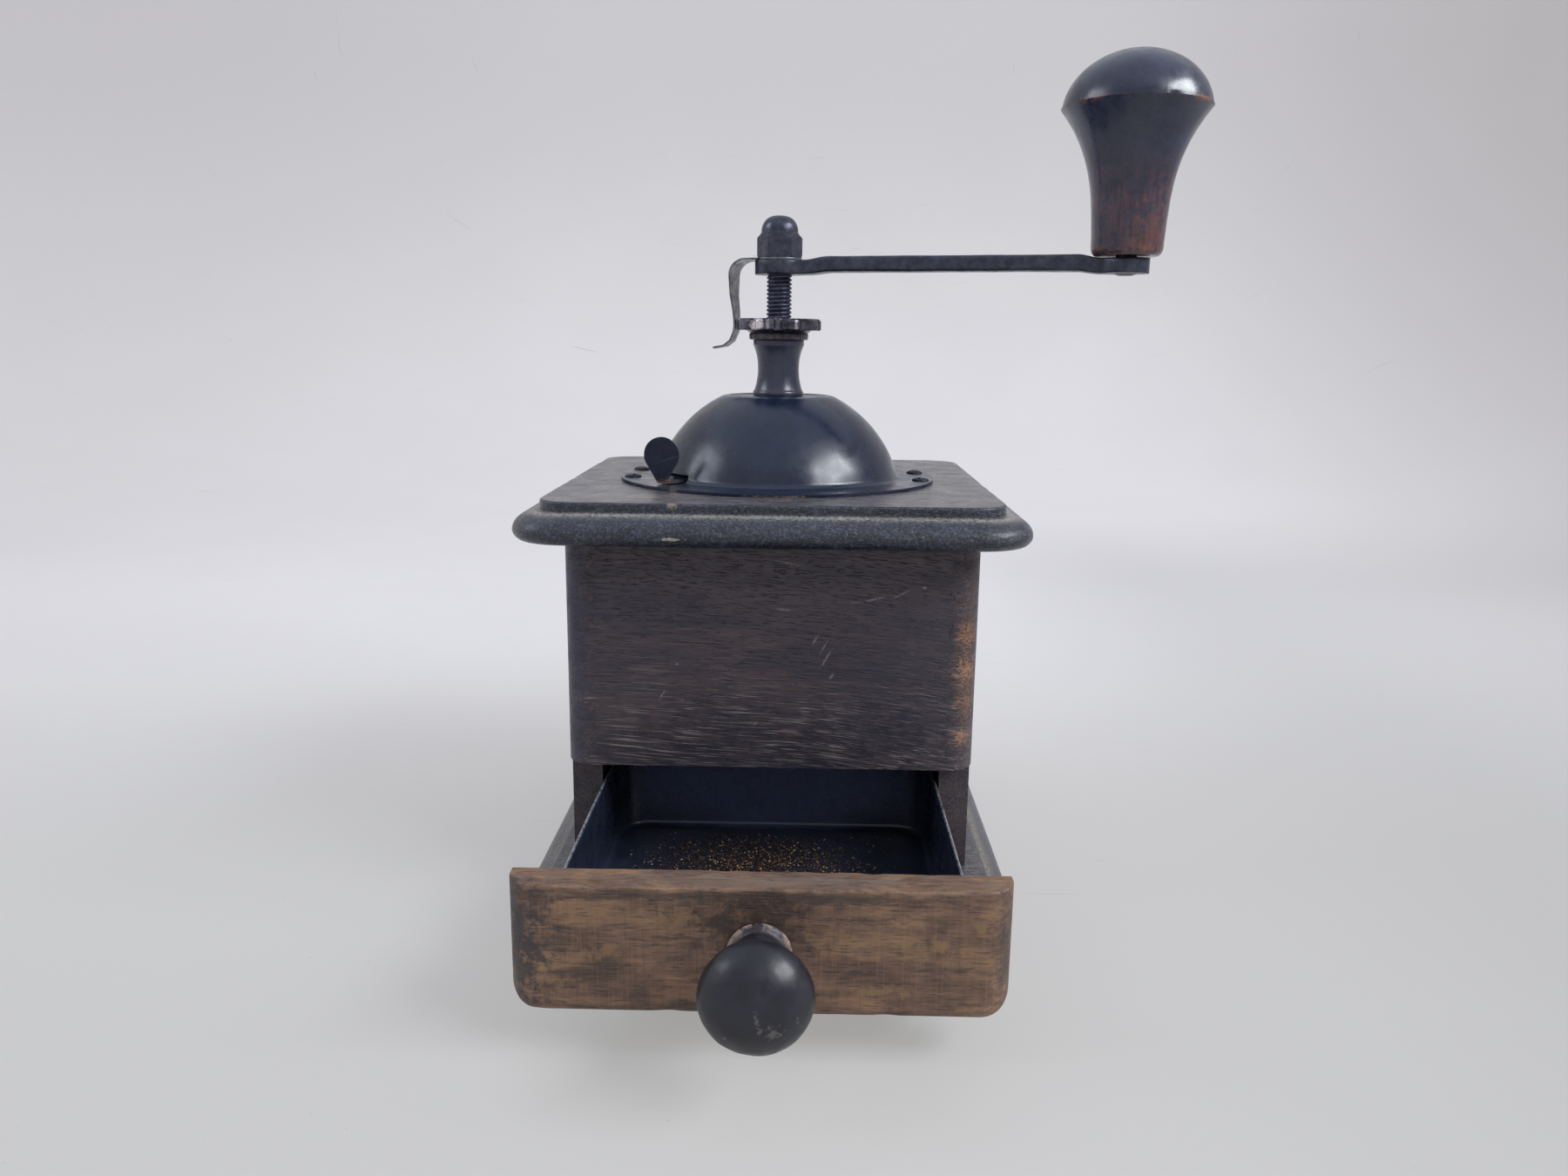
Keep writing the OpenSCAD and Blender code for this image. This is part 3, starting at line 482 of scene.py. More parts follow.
@dataclass(frozen=True)
class StovedEnamel:
    """Blue-black stoving enamel on pressed steel.

    It flows out nearly level, so that it mirrors a lamp as one wide soft patch. It has faint
    waves from the pressing, a few motes of dust and specks of rust.
    """

    name: str
    body: str = "#0b172c"
    haze: str = "#111f35"
    roughness: float = 0.27
    coat: float = 0.15
    rust: str = "#7c5238"
    mote: str = "#6d7482"
    spots: tuple[Spot, ...] = ()

    def build(self) -> bpy.types.Material:
        """Make the material.

        Returns:
            The material.
        """
        s = Surface(self.name, self.body)
        s.lay(self.haze, s.speckle(7, 5, 0.65).spread(0.35, 0.7))
        s.lay(self.mote, s.speckle(0.9, 2, 0.5).spread(0.72, 0.76), 0.3)
        rust = s.speckle(1.3, 5, 0.75).spread(0.74, 0.79)
        s.lay(self.rust, rust)
        s.lay_spots(self.spots)
        s.relief(s.speckle(14, 2), 0.3, 0.6)
        s.relief(s.speckle(0.9, 3), 0.012, 0.8)
        sheen = s.speckle(6, 4).spread(0.3, 0.7, self.roughness - 0.05, self.roughness + 0.09)
        return s.finish(sheen + rust * 0.4, IOR=1.5, Coat_Weight=self.coat, Coat_Roughness=0.18)


@dataclass(frozen=True)
class WorkedSteel:
    """Mild steel, forged, turned or rolled, and blued or left to darken.

    Blued steel is nearly black with a cool sheen. It is brighter where it rubs, and has
    patches of thin brown rust.
    """

    name: str
    dark: str
    light: str
    rust: str = "#5a3c2c"
    rust_share: float = 0.25
    metallic: float = 0.75
    roughness: float = 0.42
    grain: Grain = Grain.X
    brush_mm: tuple[float, float] = (9, 0.35)
    relief_mm: float = 0.04
    spots: tuple[Spot, ...] = ()

    def build(self) -> bpy.types.Material:
        """Make the material.

        Returns:
            The material.
        """
        s = Surface(self.name, self.dark)
        brush = s.speckle(stretch(self.grain, *self.brush_mm), 4, 0.6)
        s.lay(self.light, s.speckle(3, 5, 0.65).spread(0.34, 0.7))
        s.lay(self.light, brush.spread(0.4, 0.7), 0.3)
        edge = 0.74 - 0.3 * self.rust_share
        rust = s.speckle(1.8, 6, 0.75).spread(edge - 0.08, edge + 0.06)
        s.lay(self.rust, rust)
        s.lay_spots(self.spots)
        s.relief(s.speckle(1.2, 4, 0.6), self.relief_mm)
        s.relief(brush, self.relief_mm * 0.5, 0.7)
        sheen = s.speckle(2.4, 4).spread(0.3, 0.7, self.roughness - 0.08, self.roughness + 0.12)
        return s.finish(sheen + rust * 0.3, Metallic=rust.spread(0.0, 1.0, self.metallic, 0.1))


@dataclass(frozen=True)
class JapannedTin:
    """Tinplate under black japan.

    The japan is glossy and bluish black with slow waves. It is rubbed off along the rim, and
    coffee oil leaves a dull brown film on the floor.
    """

    name: str = "japanned_tin"
    dark: str = "#1c2231"
    light: str = "#242b3c"
    film: str = "#35302c"
    haze: str = "#566180"
    bright: str = "#77777c"
    floor_mm: tuple[float, float] = (18.0, 12.5)

    def build(self) -> bpy.types.Material:
        """Make the material.

        Returns:
            The material.
        """
        s = Surface(self.name, self.dark)
        s.lay(self.light, s.speckle(10, 4).spread(0.3, 0.7))
        # Painted light: the far wall, which lies in shade, is made a paler grey-blue
        s.lay_spots((Spot((0, -26, 27), (62, 5, 22), self.haze, 0.8, 0.6, 30.0, 0.05),))
        low = s.add("SeparateXYZ", {0: s.mm}, "Z").spread(*self.floor_mm)
        s.lay(self.film, s.speckle(2.2, 6, 0.75).spread(0.5, 0.75), low, 0.5)
        s.lay(self.bright, s.speckle(0.8, 2).spread(0.76, 0.8), 0.15)
        s.lay(self.bright, s.marked("wear", 1.4, 4, 0.7, 0.35, 0.55))
        s.relief(s.speckle(16, 2), 0.25, 0.5)
        s.relief(s.speckle(1.0, 1), 0.002, 0.6)
        sheen = s.speckle(5, 3).spread(0.3, 0.7, 0.22, 0.34)
        return s.finish(sheen + low * 0.1, IOR=1.5, Coat_Weight=0.3, Coat_Roughness=0.2)


@dataclass(frozen=True)
class GroundCoffee:
    """Dark roasted coffee, ground: dull brown crumbs with a few pale flecks of skin."""

    name: str = "ground_coffee"

    def build(self) -> bpy.types.Material:
        """Make the material.

        Returns:
            The material.
        """
        s = Surface(self.name)
        tone = s.add("Attribute", out="Fac", attribute_name="tone")
        s.colour = s.add("ValToRGB", {"Fac": tone}, stops=(
            (0.4, "#211813"), (0.7, "#453024"), (0.88, "#6a4f3a"), (0.97, "#ad9375")))
        s.relief(s.speckle(0.35, 3), 0.1)
        return s.finish(0.85, IOR=1.45, Specular_IOR_Level=0.3)


@dataclass(frozen=True)
class BackdropPaper:
    """Matt pale grey paper with faint scuffs.

    The camera sees the paper's own tone as the share glow, so that its shadows stay faint.
    """

    name: str = "backdrop_paper"
    near: str = "#c6c5c3"
    far: str = "#e3e2e4"
    top: str = "#d0cecf"
    dim: str = "#b5b1b1"
    cloud: str = "#c9c7c7"
    scuff: str = "#a9a5a1"
    shade: float = 0.2
    glow: float = 0.6

    def build(self) -> bpy.types.Material:
        """Make the material.

        Returns:
            The material.
        """
        s = Surface(self.name, self.near)
        across, back, up = (s.add("SeparateXYZ", {0: s.mm}, axis) for axis in "XYZ")
        # Painted light and shade: the far floor is lighter, the wall darker higher up, both sides
        # dimmer, the right most, with painted shade on the floor right of the object
        s.lay(self.far, back.spread(-180.0, 420.0))
        s.lay(self.top, up.spread(0.0, 560.0))
        s.lay(self.dim, across.spread(300.0, 1000.0, 0.0, 0.9))
        s.lay(self.dim, across.spread(-150.0, -900.0, 0.0, 0.34))
        s.lay("#000000", across.spread(40.0, 300.0), back.spread(800.0, 420.0), self.shade)
        s.lay(self.cloud, s.speckle(150, 2).spread(0.3, 0.7, 0.0, 0.1))
        lines = s.speckle((1 / 110, 1 / 1.6, 1 / 110), 2, 0.5, 1.4).spread(0.71, 0.73)
        thin = lines * s.speckle(70, 2).spread(0.55, 0.65) * 0.5
        specks = s.speckle(2.2, 2, 0.5).spread(0.77, 0.8) * 0.6
        s.lay(self.scuff, s.add("Math", {0: thin, 1: specks}, operation="MAXIMUM"))
        matt = s.add("BsdfPrincipled", {"Base Color": s.colour, "Roughness": 0.85,
                                        "Specular IOR Level": 0.15})
        glow = s.add("Emission", {"Color": s.colour, "Strength": 1.0})
        seen = s.add("LightPath", out="Is Camera Ray")
        for ray in ("Is Glossy Ray", "Is Transmission Ray"):
            seen = s.add("Math", {0: seen, 1: s.add("LightPath", out=ray)}, operation="MAXIMUM")
        shader = s.add("MixShader", {0: seen * self.glow, 1: matt, 2: glow})
        s.add("OutputMaterial", {"Surface": shader})
        return s.material


# ---- Mesh helpers ----

def new_object(name: str, data: bpy.types.ID) -> bpy.types.Object:
    """Put an object into the scene.

    Args:
        name: The object's name.
        data: Its mesh, lamp or camera.

    Returns:
        The object.
    """
    thing = bpy.data.objects.new(name, data)
    bpy.context.scene.collection.objects.link(thing)
    return thing


def solid(name: str, points: np.ndarray, faces: list) -> bpy.types.Object:
    """Make an object from a closed mesh, wound so that its faces look outward.

    Args:
        name: The object's name.
        points: One row for each point.
        faces: Point numbers of each face.

    Returns:
        The object.
    """
    mesh = bpy.data.meshes.new(name)
    mesh.from_pydata(points.tolist(), [], faces)
    build = bmesh.new()
    build.from_mesh(mesh)
    bmesh.ops.recalc_face_normals(build, faces=build.faces)
    build.to_mesh(mesh)
    build.free()
    return new_object(name, mesh)


def mesh_piece(name: str, points: np.ndarray, faces: list, body: str,
               material: bpy.types.Material, sharp_deg: float = 40.0,
               values: dict[str, np.ndarray] | None = None) -> bpy.types.Object:
    """Make a smooth piece from points in millimetres and let it ride on a body.

    Args:
        name: The piece's name.
        points: One row for each point.
        faces: Point numbers of each face.
        body: The body that it moves with.
        material: Its finish.
        sharp_deg: Edges that turn more than this stay sharp.
        values: Values at the points for the finish to read.

    Returns:
        The object.
    """
    piece = solid(name, points * MM, faces)
    for key, data in (values or {}).items():
        piece.data.attributes.new(key, "FLOAT", "POINT").data.foreach_set(
            "value", data.astype(np.float32))
    piece.data.shade_smooth()
    piece.data.set_sharp_from_angle(angle=math.radians(sharp_deg))
    piece.data.materials.append(material)
    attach(piece, body)
    log.info("%s: %d points on body %s", name, len(points), body)
    return piece


def cut_away(piece: bpy.types.Object, points: np.ndarray, faces: list) -> None:
    """Cut a closed shape out of a piece.

    Args:
        piece: The piece.
        points: The cutter's points in the piece's own units.
        faces: The cutter's faces.
    """
    cutter = solid("cutter", points, faces)
    cut = piece.modifiers.new("cut", "BOOLEAN")
    cut.operation, cut.object, cut.solver = "DIFFERENCE", cutter, "EXACT"
    bpy.context.view_layer.update()
    evaluated = piece.evaluated_get(bpy.context.evaluated_depsgraph_get())
    mesh = bpy.data.meshes.new_from_object(evaluated)
    mesh.name = piece.name
    piece.modifiers.clear()
    piece.data = mesh
    bpy.data.objects.remove(cutter)


class Ends(Enum):
    """What a loft does with its first and last rings."""

    CAPPED = "both are closed to a middle point"
    JOINED = "the last is joined to the first"
    OPEN_LAST = "only the first is closed"


def loft(rings: list[np.ndarray], ends: Ends = Ends.CAPPED) -> tuple[np.ndarray, list]:
    """Join rings of points with quads.

    Args:
        rings: Rings with the same number of points.
        ends: What happens at the ends.

    Returns:
        The points and the faces.
    """
    count, last = len(rings[0]), len(rings) - 1
    following = [(k + 1) % count for k in range(count)]
    faces = []
    for i in range(last + (ends is Ends.JOINED)):
        a, b = i * count, (i + 1) % len(rings) * count
        faces += [(a + k, b + k, b + n, a + n) for k, n in enumerate(following)]
    points = np.concatenate(rings)
    if ends is not Ends.JOINED:
        faces += [(len(points), k, n) for k, n in enumerate(following)]
        points = np.concatenate([points, [rings[0].mean(0)]])
    if ends is Ends.CAPPED:
        base = last * count
        faces += [(len(points), base + n, base + k) for k, n in enumerate(following)]
        points = np.concatenate([points, [rings[-1].mean(0)]])
    return points, faces


def turns(steps: int) -> np.ndarray:
    """Equal angles round a full turn, in radians."""
    return np.linspace(0, 2 * math.pi, steps, endpoint=False)


def round_ring(radius: float | np.ndarray, z: float, steps: int = 96) -> np.ndarray:
    """A level ring about the Z axis.

    Args:
        radius: One radius, or one for each point.
        z: Height.
        steps: Points round the ring.

    Returns:
        The points.
    """
    turn = turns(steps)
    return np.stack([radius * np.cos(turn), radius * np.sin(turn), np.full(steps, z)], 1)


def turned_rings(profile: list[tuple[float, float]], steps: int = 96) -> list[np.ndarray]:
    """Turn a profile of (radius, height) about the Z axis into one ring for each point."""
    return [round_ring(r, z, steps) for r, z in profile]


def arc(cx: float, cz: float, rx: float, rz: float, start: float, end: float,
        steps: int) -> list[tuple[float, float]]:
    """Points of an elliptical arc.

    Args:
        cx: Centre, across.
        cz: Centre, up.
        rx: Radius across.
        rz: Radius up.
        start: First angle in degrees.
        end: Last angle in degrees.
        steps: Steps between them.

    Returns:
        The points.
    """
    angles = np.radians(np.linspace(start, end, steps + 1))
    return [(cx + rx * math.cos(a), cz + rz * math.sin(a)) for a in angles]


def square_ring(half_x: float, half_y: float, radius: float, z: float, side_steps: int = 40,
                corner_steps: int = 12, back_radius: float | None = None) -> np.ndarray:
    """Walk round a rectangle with rounded corners, anticlockwise seen from above.

    Args:
        half_x: Half its width.
        half_y: Half its depth.
        radius: Corner radius.
        z: Height.
        side_steps: Steps along each side.
        corner_steps: Steps round each corner.
        back_radius: Radius of the two corners at +Y, if it differs.

    Returns:
        The points.
    """
    back = back_radius or radius
    corners = [arc(sx * (half_x - r), sy * (half_y - r), r, r, start, start + 90, corner_steps)
               for sx, sy, r, start in ((1, -1, radius, -90), (1, 1, back, 0),
                                        (-1, 1, back, 90), (-1, -1, radius, 180))]
    points = []
    for corner, after in zip(corners, corners[1:] + corners[:1]):
        points += corner
        points += np.linspace(corner[-1], after[0], side_steps + 1)[1:-1].tolist()
    return np.column_stack([points, np.full(len(points), z)])


def resample(profile: list[tuple[float, float]], step: float = 1.0) -> list[tuple[float, float]]:
    """Split a profile's long runs.

    Args:
        profile: The profile's points.
        step: The longest run that may be left.

    Returns:
        The denser profile.
    """
    points = [profile[0]]
    for start, end in zip(profile, profile[1:]):
        parts = max(1, math.ceil(math.dist(start, end) / step))
        points += np.linspace(start, end, parts + 1)[1:].tolist()
    return points


def scaled(ring: np.ndarray, shares: tuple[float, float], centre: np.ndarray) -> np.ndarray:
    """Scale a level ring about a point.

    Args:
        ring: The ring.
        shares: The shares of its width and depth that are kept.
        centre: The point.

    Returns:
        The smaller ring.
    """
    return centre + (ring - centre) * (*shares, 1)


def spun(points: np.ndarray, degrees: float) -> np.ndarray:
    """Turn points about the Z axis, anticlockwise seen from above."""
    c, s = math.cos(math.radians(degrees)), math.sin(math.radians(degrees))
    return points @ np.array([[c, s, 0], [-s, c, 0], [0, 0, 1]])


def bump(distance: np.ndarray, width: float) -> np.ndarray:
    """A soft bump: 1 at no distance, and near 0 beyond two widths."""
    return np.exp(-(distance / width) ** 2)


def rumple(points: np.ndarray, size_mm: float, seed: float) -> np.ndarray:
    """Smooth noise at each point.

    Args:
        points: Places in millimetres.
        size_mm: Size of one bump.
        seed: Shifts the pattern.

    Returns:
        Values from about -1 to 1.
    """
    shift = Vector((seed, 2.7 * seed, -1.3 * seed))
    return np.array([noise.noise(Vector(p) / size_mm + shift) for p in points])


def dress(finish: StainedWood | StovedEnamel | WorkedSteel, rounds: dict[str, float],
          bevel_deg: float = 40.0) -> None:
    """Give pieces of the model one finish and a small round on their hard edges.

    Args:
        finish: The finish.
        rounds: The width of the round by the piece's name; 0 leaves its edges as they are.
        bevel_deg: Edges that turn more than this are rounded.
    """
    material = finish.build()
    for node, width in rounds.items():
        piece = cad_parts[node]
        piece.data.materials.clear()
        piece.data.materials.append(material)
        if width:
            piece.modifiers.new("weld", "WELD").merge_threshold = 0.001 * MM
            bevel = piece.modifiers.new("edges", "BEVEL")
            bevel.width, bevel.segments = width * MM, 2
            bevel.limit_method, bevel.angle_limit = "ANGLE", math.radians(bevel_deg)
            bevel.use_clamp_overlap, bevel.harden_normals = True, False
        log.info("%s: dressed as %s", node, material.name)


# ---- Sub-assemblies ----

@dataclass
class MouldedBoard:
    """A square board with an ovolo edge, a raised panel on top and knocked, worn edges."""

    name: str
    node: str
    foot: float
    hole_r: float
    finish: DarkLacquer
    seed: float
    half: float = 73.5
    corner_r: float = 15.0
    thick: float = 11.4
    rise: float = 3.1
    rise_inset: float = 7.4
    rise_corner_r: float = 10.3
    line: float = 3.1
    ovolo_run: float = 6.8
    under_run: float = 3.4
    edge_round: float = 0.7

    def section(self) -> list[tuple[float, float]]:
        """The edge from the raised panel round to the underside.

        Returns:
            Inset from the widest line and height of each ring.
        """
        step, line = self.thick - self.rise, self.line
        e, inset, over, under = self.edge_round, self.rise_inset, self.ovolo_run, self.under_run
        rows = [(inset + d, self.thick) for d in (22, 14, 8, 4, 2, 1.4)]
        rows += [(inset + e - x, z) for x, z in arc(0, self.thick - e, e, e, 90, 0, 5)]
        rows += [(inset, self.thick - e - (self.rise - e - 0.3) * t) for t in (0.35, 0.7, 1.0)]
        rows += [(inset - 0.3, step + 0.02), (over, step)]
        rows += [(over - x, z) for x, z in arc(0, line, over, step - line, 84, 0, 16)]
        rows += [(under - x, z) for x, z in arc(0, line, under, line, -8, -90, 10)]
        return rows + [(under + d, 0.0) for d in (2, 6, 14, 22)]

    def corner(self, inset: float) -> float:
        """The corner radius of one ring.

        Args:
            inset: How far in from the widest line it lies.

        Returns:
            The radius.
        """
        if inset < self.rise_inset:
            change = self.rise_corner_r - self.corner_r + self.rise_inset
            return self.corner_r - inset + inset / self.rise_inset * change
        return max(self.rise_corner_r - (inset - self.rise_inset), 2.0)

    def build(self) -> bpy.types.Object:
        """Make the board.

        Returns:
            The object.
        """
        rings = [square_ring(self.half - d, self.half - d, self.corner(d), z)
                 for d, z in self.section()]
        outline = rings[0][:, :2]
        turn = np.arctan2(outline[:, 1], outline[:, 0])
        circle = (self.hole_r or 1.0) * np.stack([np.cos(turn), np.sin(turn)], 1)

        def across(share: float, z: float) -> np.ndarray:
            """A ring part of the way in from the panel to the hole."""
            flat = outline * (1 - share) + circle * share
            return np.column_stack([flat, np.full(len(flat), z)])

        way_in = (0.3, 0.55, 0.8, 1.0)
        rings = [across(t, self.thick) for t in way_in[::-1]] + rings
        rings += [across(t, 0.0) for t in way_in]
        if self.hole_r:
            rings += [across(1.0, self.thick * t) for t in (0.33, 0.67)]
        points, faces = loft(rings, Ends.JOINED if self.hole_r else Ends.CAPPED)
        points, values = self.age(points)
        piece = mesh_piece(self.name, points + (0, 0, self.foot), faces, "case",
                           self.finish.build(), 38, values)
        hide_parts(self.node)
        return piece

    def age(self, points: np.ndarray) -> tuple[np.ndarray, dict[str, np.ndarray]]:
        """Knock and wear the edges.

        Args:
            points: The board's points with its underside at 0.

        Returns:
            The points, moved inward, and the wear and the dust at each.
        """
        z, step = points[:, 2], self.thick - self.rise
        over = np.maximum(np.abs(points[:, :2]) - (self.half - self.corner_r), 0)
        inset = self.corner_r - np.hypot(*over.T)
        rim = bump(inset - self.rise_inset, 1.2) * bump(z - self.thick, 1.0)
        lip = bump(inset, 0.8) * bump(z - self.line + 1.2, 1.6)
        dents = np.clip(rumple(points, 7, self.seed) - 0.25, 0, 1)
        slow = 0.12 * (rumple(points, 34, self.seed + 3) + 1) * (inset < self.rise_inset)
        depth = (0.9 * rim + 0.7 * lip) * dents + slow * (z < step) * (z > 0.5)
        inward = np.column_stack([-np.sign(points[:, :2]) * (over > 0), -(z > step).astype(float)])
        length = np.maximum(np.linalg.norm(inward, axis=1), 1)
        moved = points + inward * (depth / length)[:, None]
        moved[:, 2] = np.maximum(moved[:, 2], 0)
        knocks = np.clip(rumple(points, 15, self.seed + 8) * 1.5 + 0.1, 0, 1)
        above = np.where(z > step, 0.3, 1.6)
        return moved, {"wear": np.clip((rim + lip) * knocks * 1.1, 0, 1),
                       "dust": bump(inset - self.rise_inset + 1.5, 2.1) * bump(z - step, above)}


@dataclass
class Box:
    """The four finger-jointed panels and the two moulded boards."""

    body_top: float = 113.0
    hole_r: float = 34.0
    screw_x: float = 55.5
    screw_y: float = 36.0

    def dress(self) -> None:
        """Make the boards and finish the panels."""
        # Both boards' greyed tops are a painted sheen
        top = DarkLacquer("board_lacquer_top", painted_top_sheen=0.8, spots=(
            Spot((-27, -73.4, 115.6), (3.6, 3, 0.5), "#a09a90", 0.9, 0.4, 1.0),
            Spot((-27.4, -66, 124), (1.8, 1.6, 1.2), "#85796a", 0.8, 0.5, 1.0),
            Spot((19, -67.5, 121.5), (1.1, 1.4, 0.8), "#a39a8c", 0.9, 0.5, 0.8),
            # Painted sheen: the top's front left is made paler
            Spot((-38, -52, 124.4), (16, 8, 1), "#7b7470", 0.5, 0.7, 2.0, 0.7)))
        foot = DarkLacquer("board_lacquer_base", "#1c1f2a", "#302f36", painted_top_sheen=0.6,
                           dust="#8f897d")
        MouldedBoard("top_board_worn", "top_board", self.body_top, self.hole_r, top, 4.0).build()
        base = MouldedBoard("base_board_worn", "base_board", 0.0, 0.0, foot, 11.0).build()
        self.cut_screw_holes(base)
        self.panels()
        steel = WorkedSteel("wood_screw_steel", "#4b4b4e", "#84848a", rust_share=0.5,
                            metallic=0.85)
        dress(steel, {"base_screws": 0.08})

    def panels(self) -> None:
        """Finish the four panels."""
        knocks = tuple(
            Spot((x, -60, z), (wide, deep, tall), colour, strength, 0.8, grit, broken,
                 streaky=True)
            for x, z, wide, deep, tall, colour, strength, grit, broken in (
                (57.5, 78.0, 4.4, 6, 30, "#6b4f3c", 0.7, 1.3, 0.8),
                (57.0, 86.5, 4.0, 5, 4.4, "#9a6b46", 0.8, 1.0, 0.9),
                (56.8, 76.0, 4.6, 5, 4.4, "#a97c56", 0.85, 1.0, 0.9),
                (57.4, 66.5, 4.0, 5, 5.0, "#8a6243", 0.8, 1.0, 0.9),
                (56.2, 56.0, 4.2, 5, 2.6, "#a97c55", 0.85, 0.9, 0.8)))
        # The first spot is a painted sheen, the left wall's bluish reflection on the rounded left
        # corner; the other two darken the front's lower part and lighten its upper part
        tones = (Spot((-58.5, -60, 78), (6.6, 6, 62), "#2a2a45", 0.6, 0.4, 4.0, 0.25),
                 Spot((0, -60, 52), (85, 3, 19), "#191b26", 0.75, 0.9, 7.0, 0.4),
                 Spot((0, -60, 103), (80, 3, 14), "#4f4853", 0.3, 0.9, 5.0, 0.4))
        scratches = tuple(
            Spot((x, -60, z), (half, 2, wide), "#9b9391", 0.65, 0.8, 0.5, 0.6, lean)
            for x, z, half, wide, lean in (
                (12.6, 84.6, 2.2, 0.35, 62), (15.2, 82.6, 2.6, 0.3, 62),
                (16.0, 79.4, 3.6, 0.4, 60), (17.6, 74.0, 1.3, 0.55, 55),
                (-31.4, 67.6, 1.9, 0.35, 62), (-4.2, 59.5, 1.0, 0.35, 30),
                (29.0, 96.9, 4.6, 0.3, 14), (37.0, 98.6, 3.6, 0.3, 26),
                (43.6, 100.6, 0.7, 0.5, 0), (-27.0, 77.0, 0.5, 0.45, 0),
                (3.4, 93.6, 3.0, 0.4, -4), (5.2, 107.0, 4.4, 0.35, -12), (24.0, 96.0, 1.6, 0.3, 4)))
        front = StainedWood("stained_front", Grain.X, "#272631", "#3b333b", "#4d3f3f", "#191922",
                            roughness=0.4, wave_mm=4.0, lean=0.07, arch=0.0007, hatch=0.1,
                            relief_mm=0.17, chalk=0.6, chalk_below=64, vessel_share=0.6,
                            streak_mm=(11, 0.5), pore_mm=(4, 0.35),
                            spots=tones + knocks + scratches)
        side = StainedWood("stained_side", Grain.Y, "#24232e", "#393138", "#4a3c3b", "#191922",
                           roughness=0.4, wave_mm=4.0, lean=-0.04, arch=0.0003, relief_mm=0.18,
                           chalk=0.45, chalk_below=60, spots=tones + knocks)
        back = StainedWood("stained_back", Grain.X, "#24232e", "#3b333a", "#4d3f3d", "#191922",
                           roughness=0.42, wave_mm=5.0, lean=-0.05, arch=-0.0004, relief_mm=0.18,
                           chalk=0.45, chalk_below=60)
        for wood, nodes in ((front, ("front_panel",)), (back, ("back_panel",)),
                            (side, ("left_panel", "right_panel"))):
            dress(wood, dict.fromkeys(nodes, 0.15), 30)

    def cut_screw_holes(self, board: bpy.types.Object) -> None:
        """Sink the four screw heads into the base board's underside.

        Args:
            board: The base board.
        """
        hole = turned_rings([(3.6, -1), (3.6, 0.02), (1.8, 2.45), (1.8, 11.0)], 32)
        for x in (-self.screw_x, self.screw_x):
            for y in (-self.screw_y, self.screw_y):
                points, faces = loft(hole)
                cut_away(board, (points + (x, y, 0)) * MM, faces)


@dataclass
class Dome:
    """The pressed dome, its filler door, its screws and the neck on top."""

    flange_top: float = 125.4
    screw_ring_r: float = 47.3
    screw_deg: float = 13.0
    screw_l: float = 9.0
    head_r: float = 2.7
    head_h: float = 0.95
    rim_h: float = 0.16
    slot_w: float = 0.76
    slot_foot: float = 0.42

    def dress(self) -> None:
        """Finish the pieces."""
        tan = "#8a6f5c"
        enamel = StovedEnamel("dome_enamel", spots=(
            Spot((-30, -41.4, 124.7), (9, 1.4, 0.6), tan, 0.7, 0.6, 1.0, 1.0),
            Spot((3, -51.0, 124.6), (14, 0.8, 0.4), tan, 0.5, 0.6, 0.7, 1.3),
            Spot((-38, -33, 125.4), (5, 3, 0.5), "#6e5543", 0.6, 0.6, 0.8, 1.0)))
        neck = StovedEnamel("neck_enamel", "#20263a", "#302f42", 0.28, 0.3)
        scuff = Spot((-34.5, -31, 126.0), (4, 3, 1.0), "#8a6f4e", 0.6, 0.6, 0.6, 1.1)
        door = WorkedSteel("door_steel", "#171c2d", "#20263a", rust_share=0.1, metallic=0.4,
                           roughness=0.4, spots=(scuff,))
        for finish, node, width in ((enamel, "dome_cover", 0.12), (neck, "neck_bush", 0.2),
                                    (door, "filler_door", 0.12)):
            dress(finish, {node: width}, 50)
        self.screws()

    def screws(self) -> None:
        """Make the four slotted oval-head screws that hold the flange."""
        head, cone, rim = self.head_r, 1.15, self.rim_h
        profile = [(0.4, -self.screw_l), (cone, -self.screw_l + 2.2), (cone, -1.0), (1.9, -0.02),
                   (head, 0.02), (head, rim)]
        profile += [(head * math.cos(a), rim + (self.head_h - rim) * math.sin(a))
                    for a in np.radians((12, 26, 40, 54, 68, 80))]
        screw = solid("screw", *loft(turned_rings(profile, 40)))
        half = self.slot_w / 2
        slot = np.array([(x, y, z) for z in (self.slot_foot, 2.0) for x, y in
                         ((-4, -half), (4, -half), (4, half), (-4, half))])
        sides = [(k, (k + 1) % 4, 4 + (k + 1) % 4, 4 + k) for k in range(4)]
        cut_away(screw, slot, [(3, 2, 1, 0), (4, 5, 6, 7), *sides])
        one = np.array([vertex.co for vertex in screw.data.vertices])
        rows = [list(face.vertices) for face in screw.data.polygons]
        bpy.data.objects.remove(screw)
        points, faces = [], []
        a = self.screw_deg
        for k, (around, slot_deg) in enumerate(((-a, 70), (a, 20), (180 - a, 35), (180 + a, 110))):
            faces += [[k * len(one) + i for i in row] for row in rows]
            place = spun(np.array([self.screw_ring_r, 0, self.flange_top]), around)
            points.append(spun(one, slot_deg) + place)
        steel = WorkedSteel("dome_screw_steel", "#12131a", "#262733", "#4d3a30", 0.25, 0.5, 0.4)
        piece = mesh_piece("flange_screws_oval", np.concatenate(points), faces, "case",
                           steel.build(), 35)
        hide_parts("flange_screws")


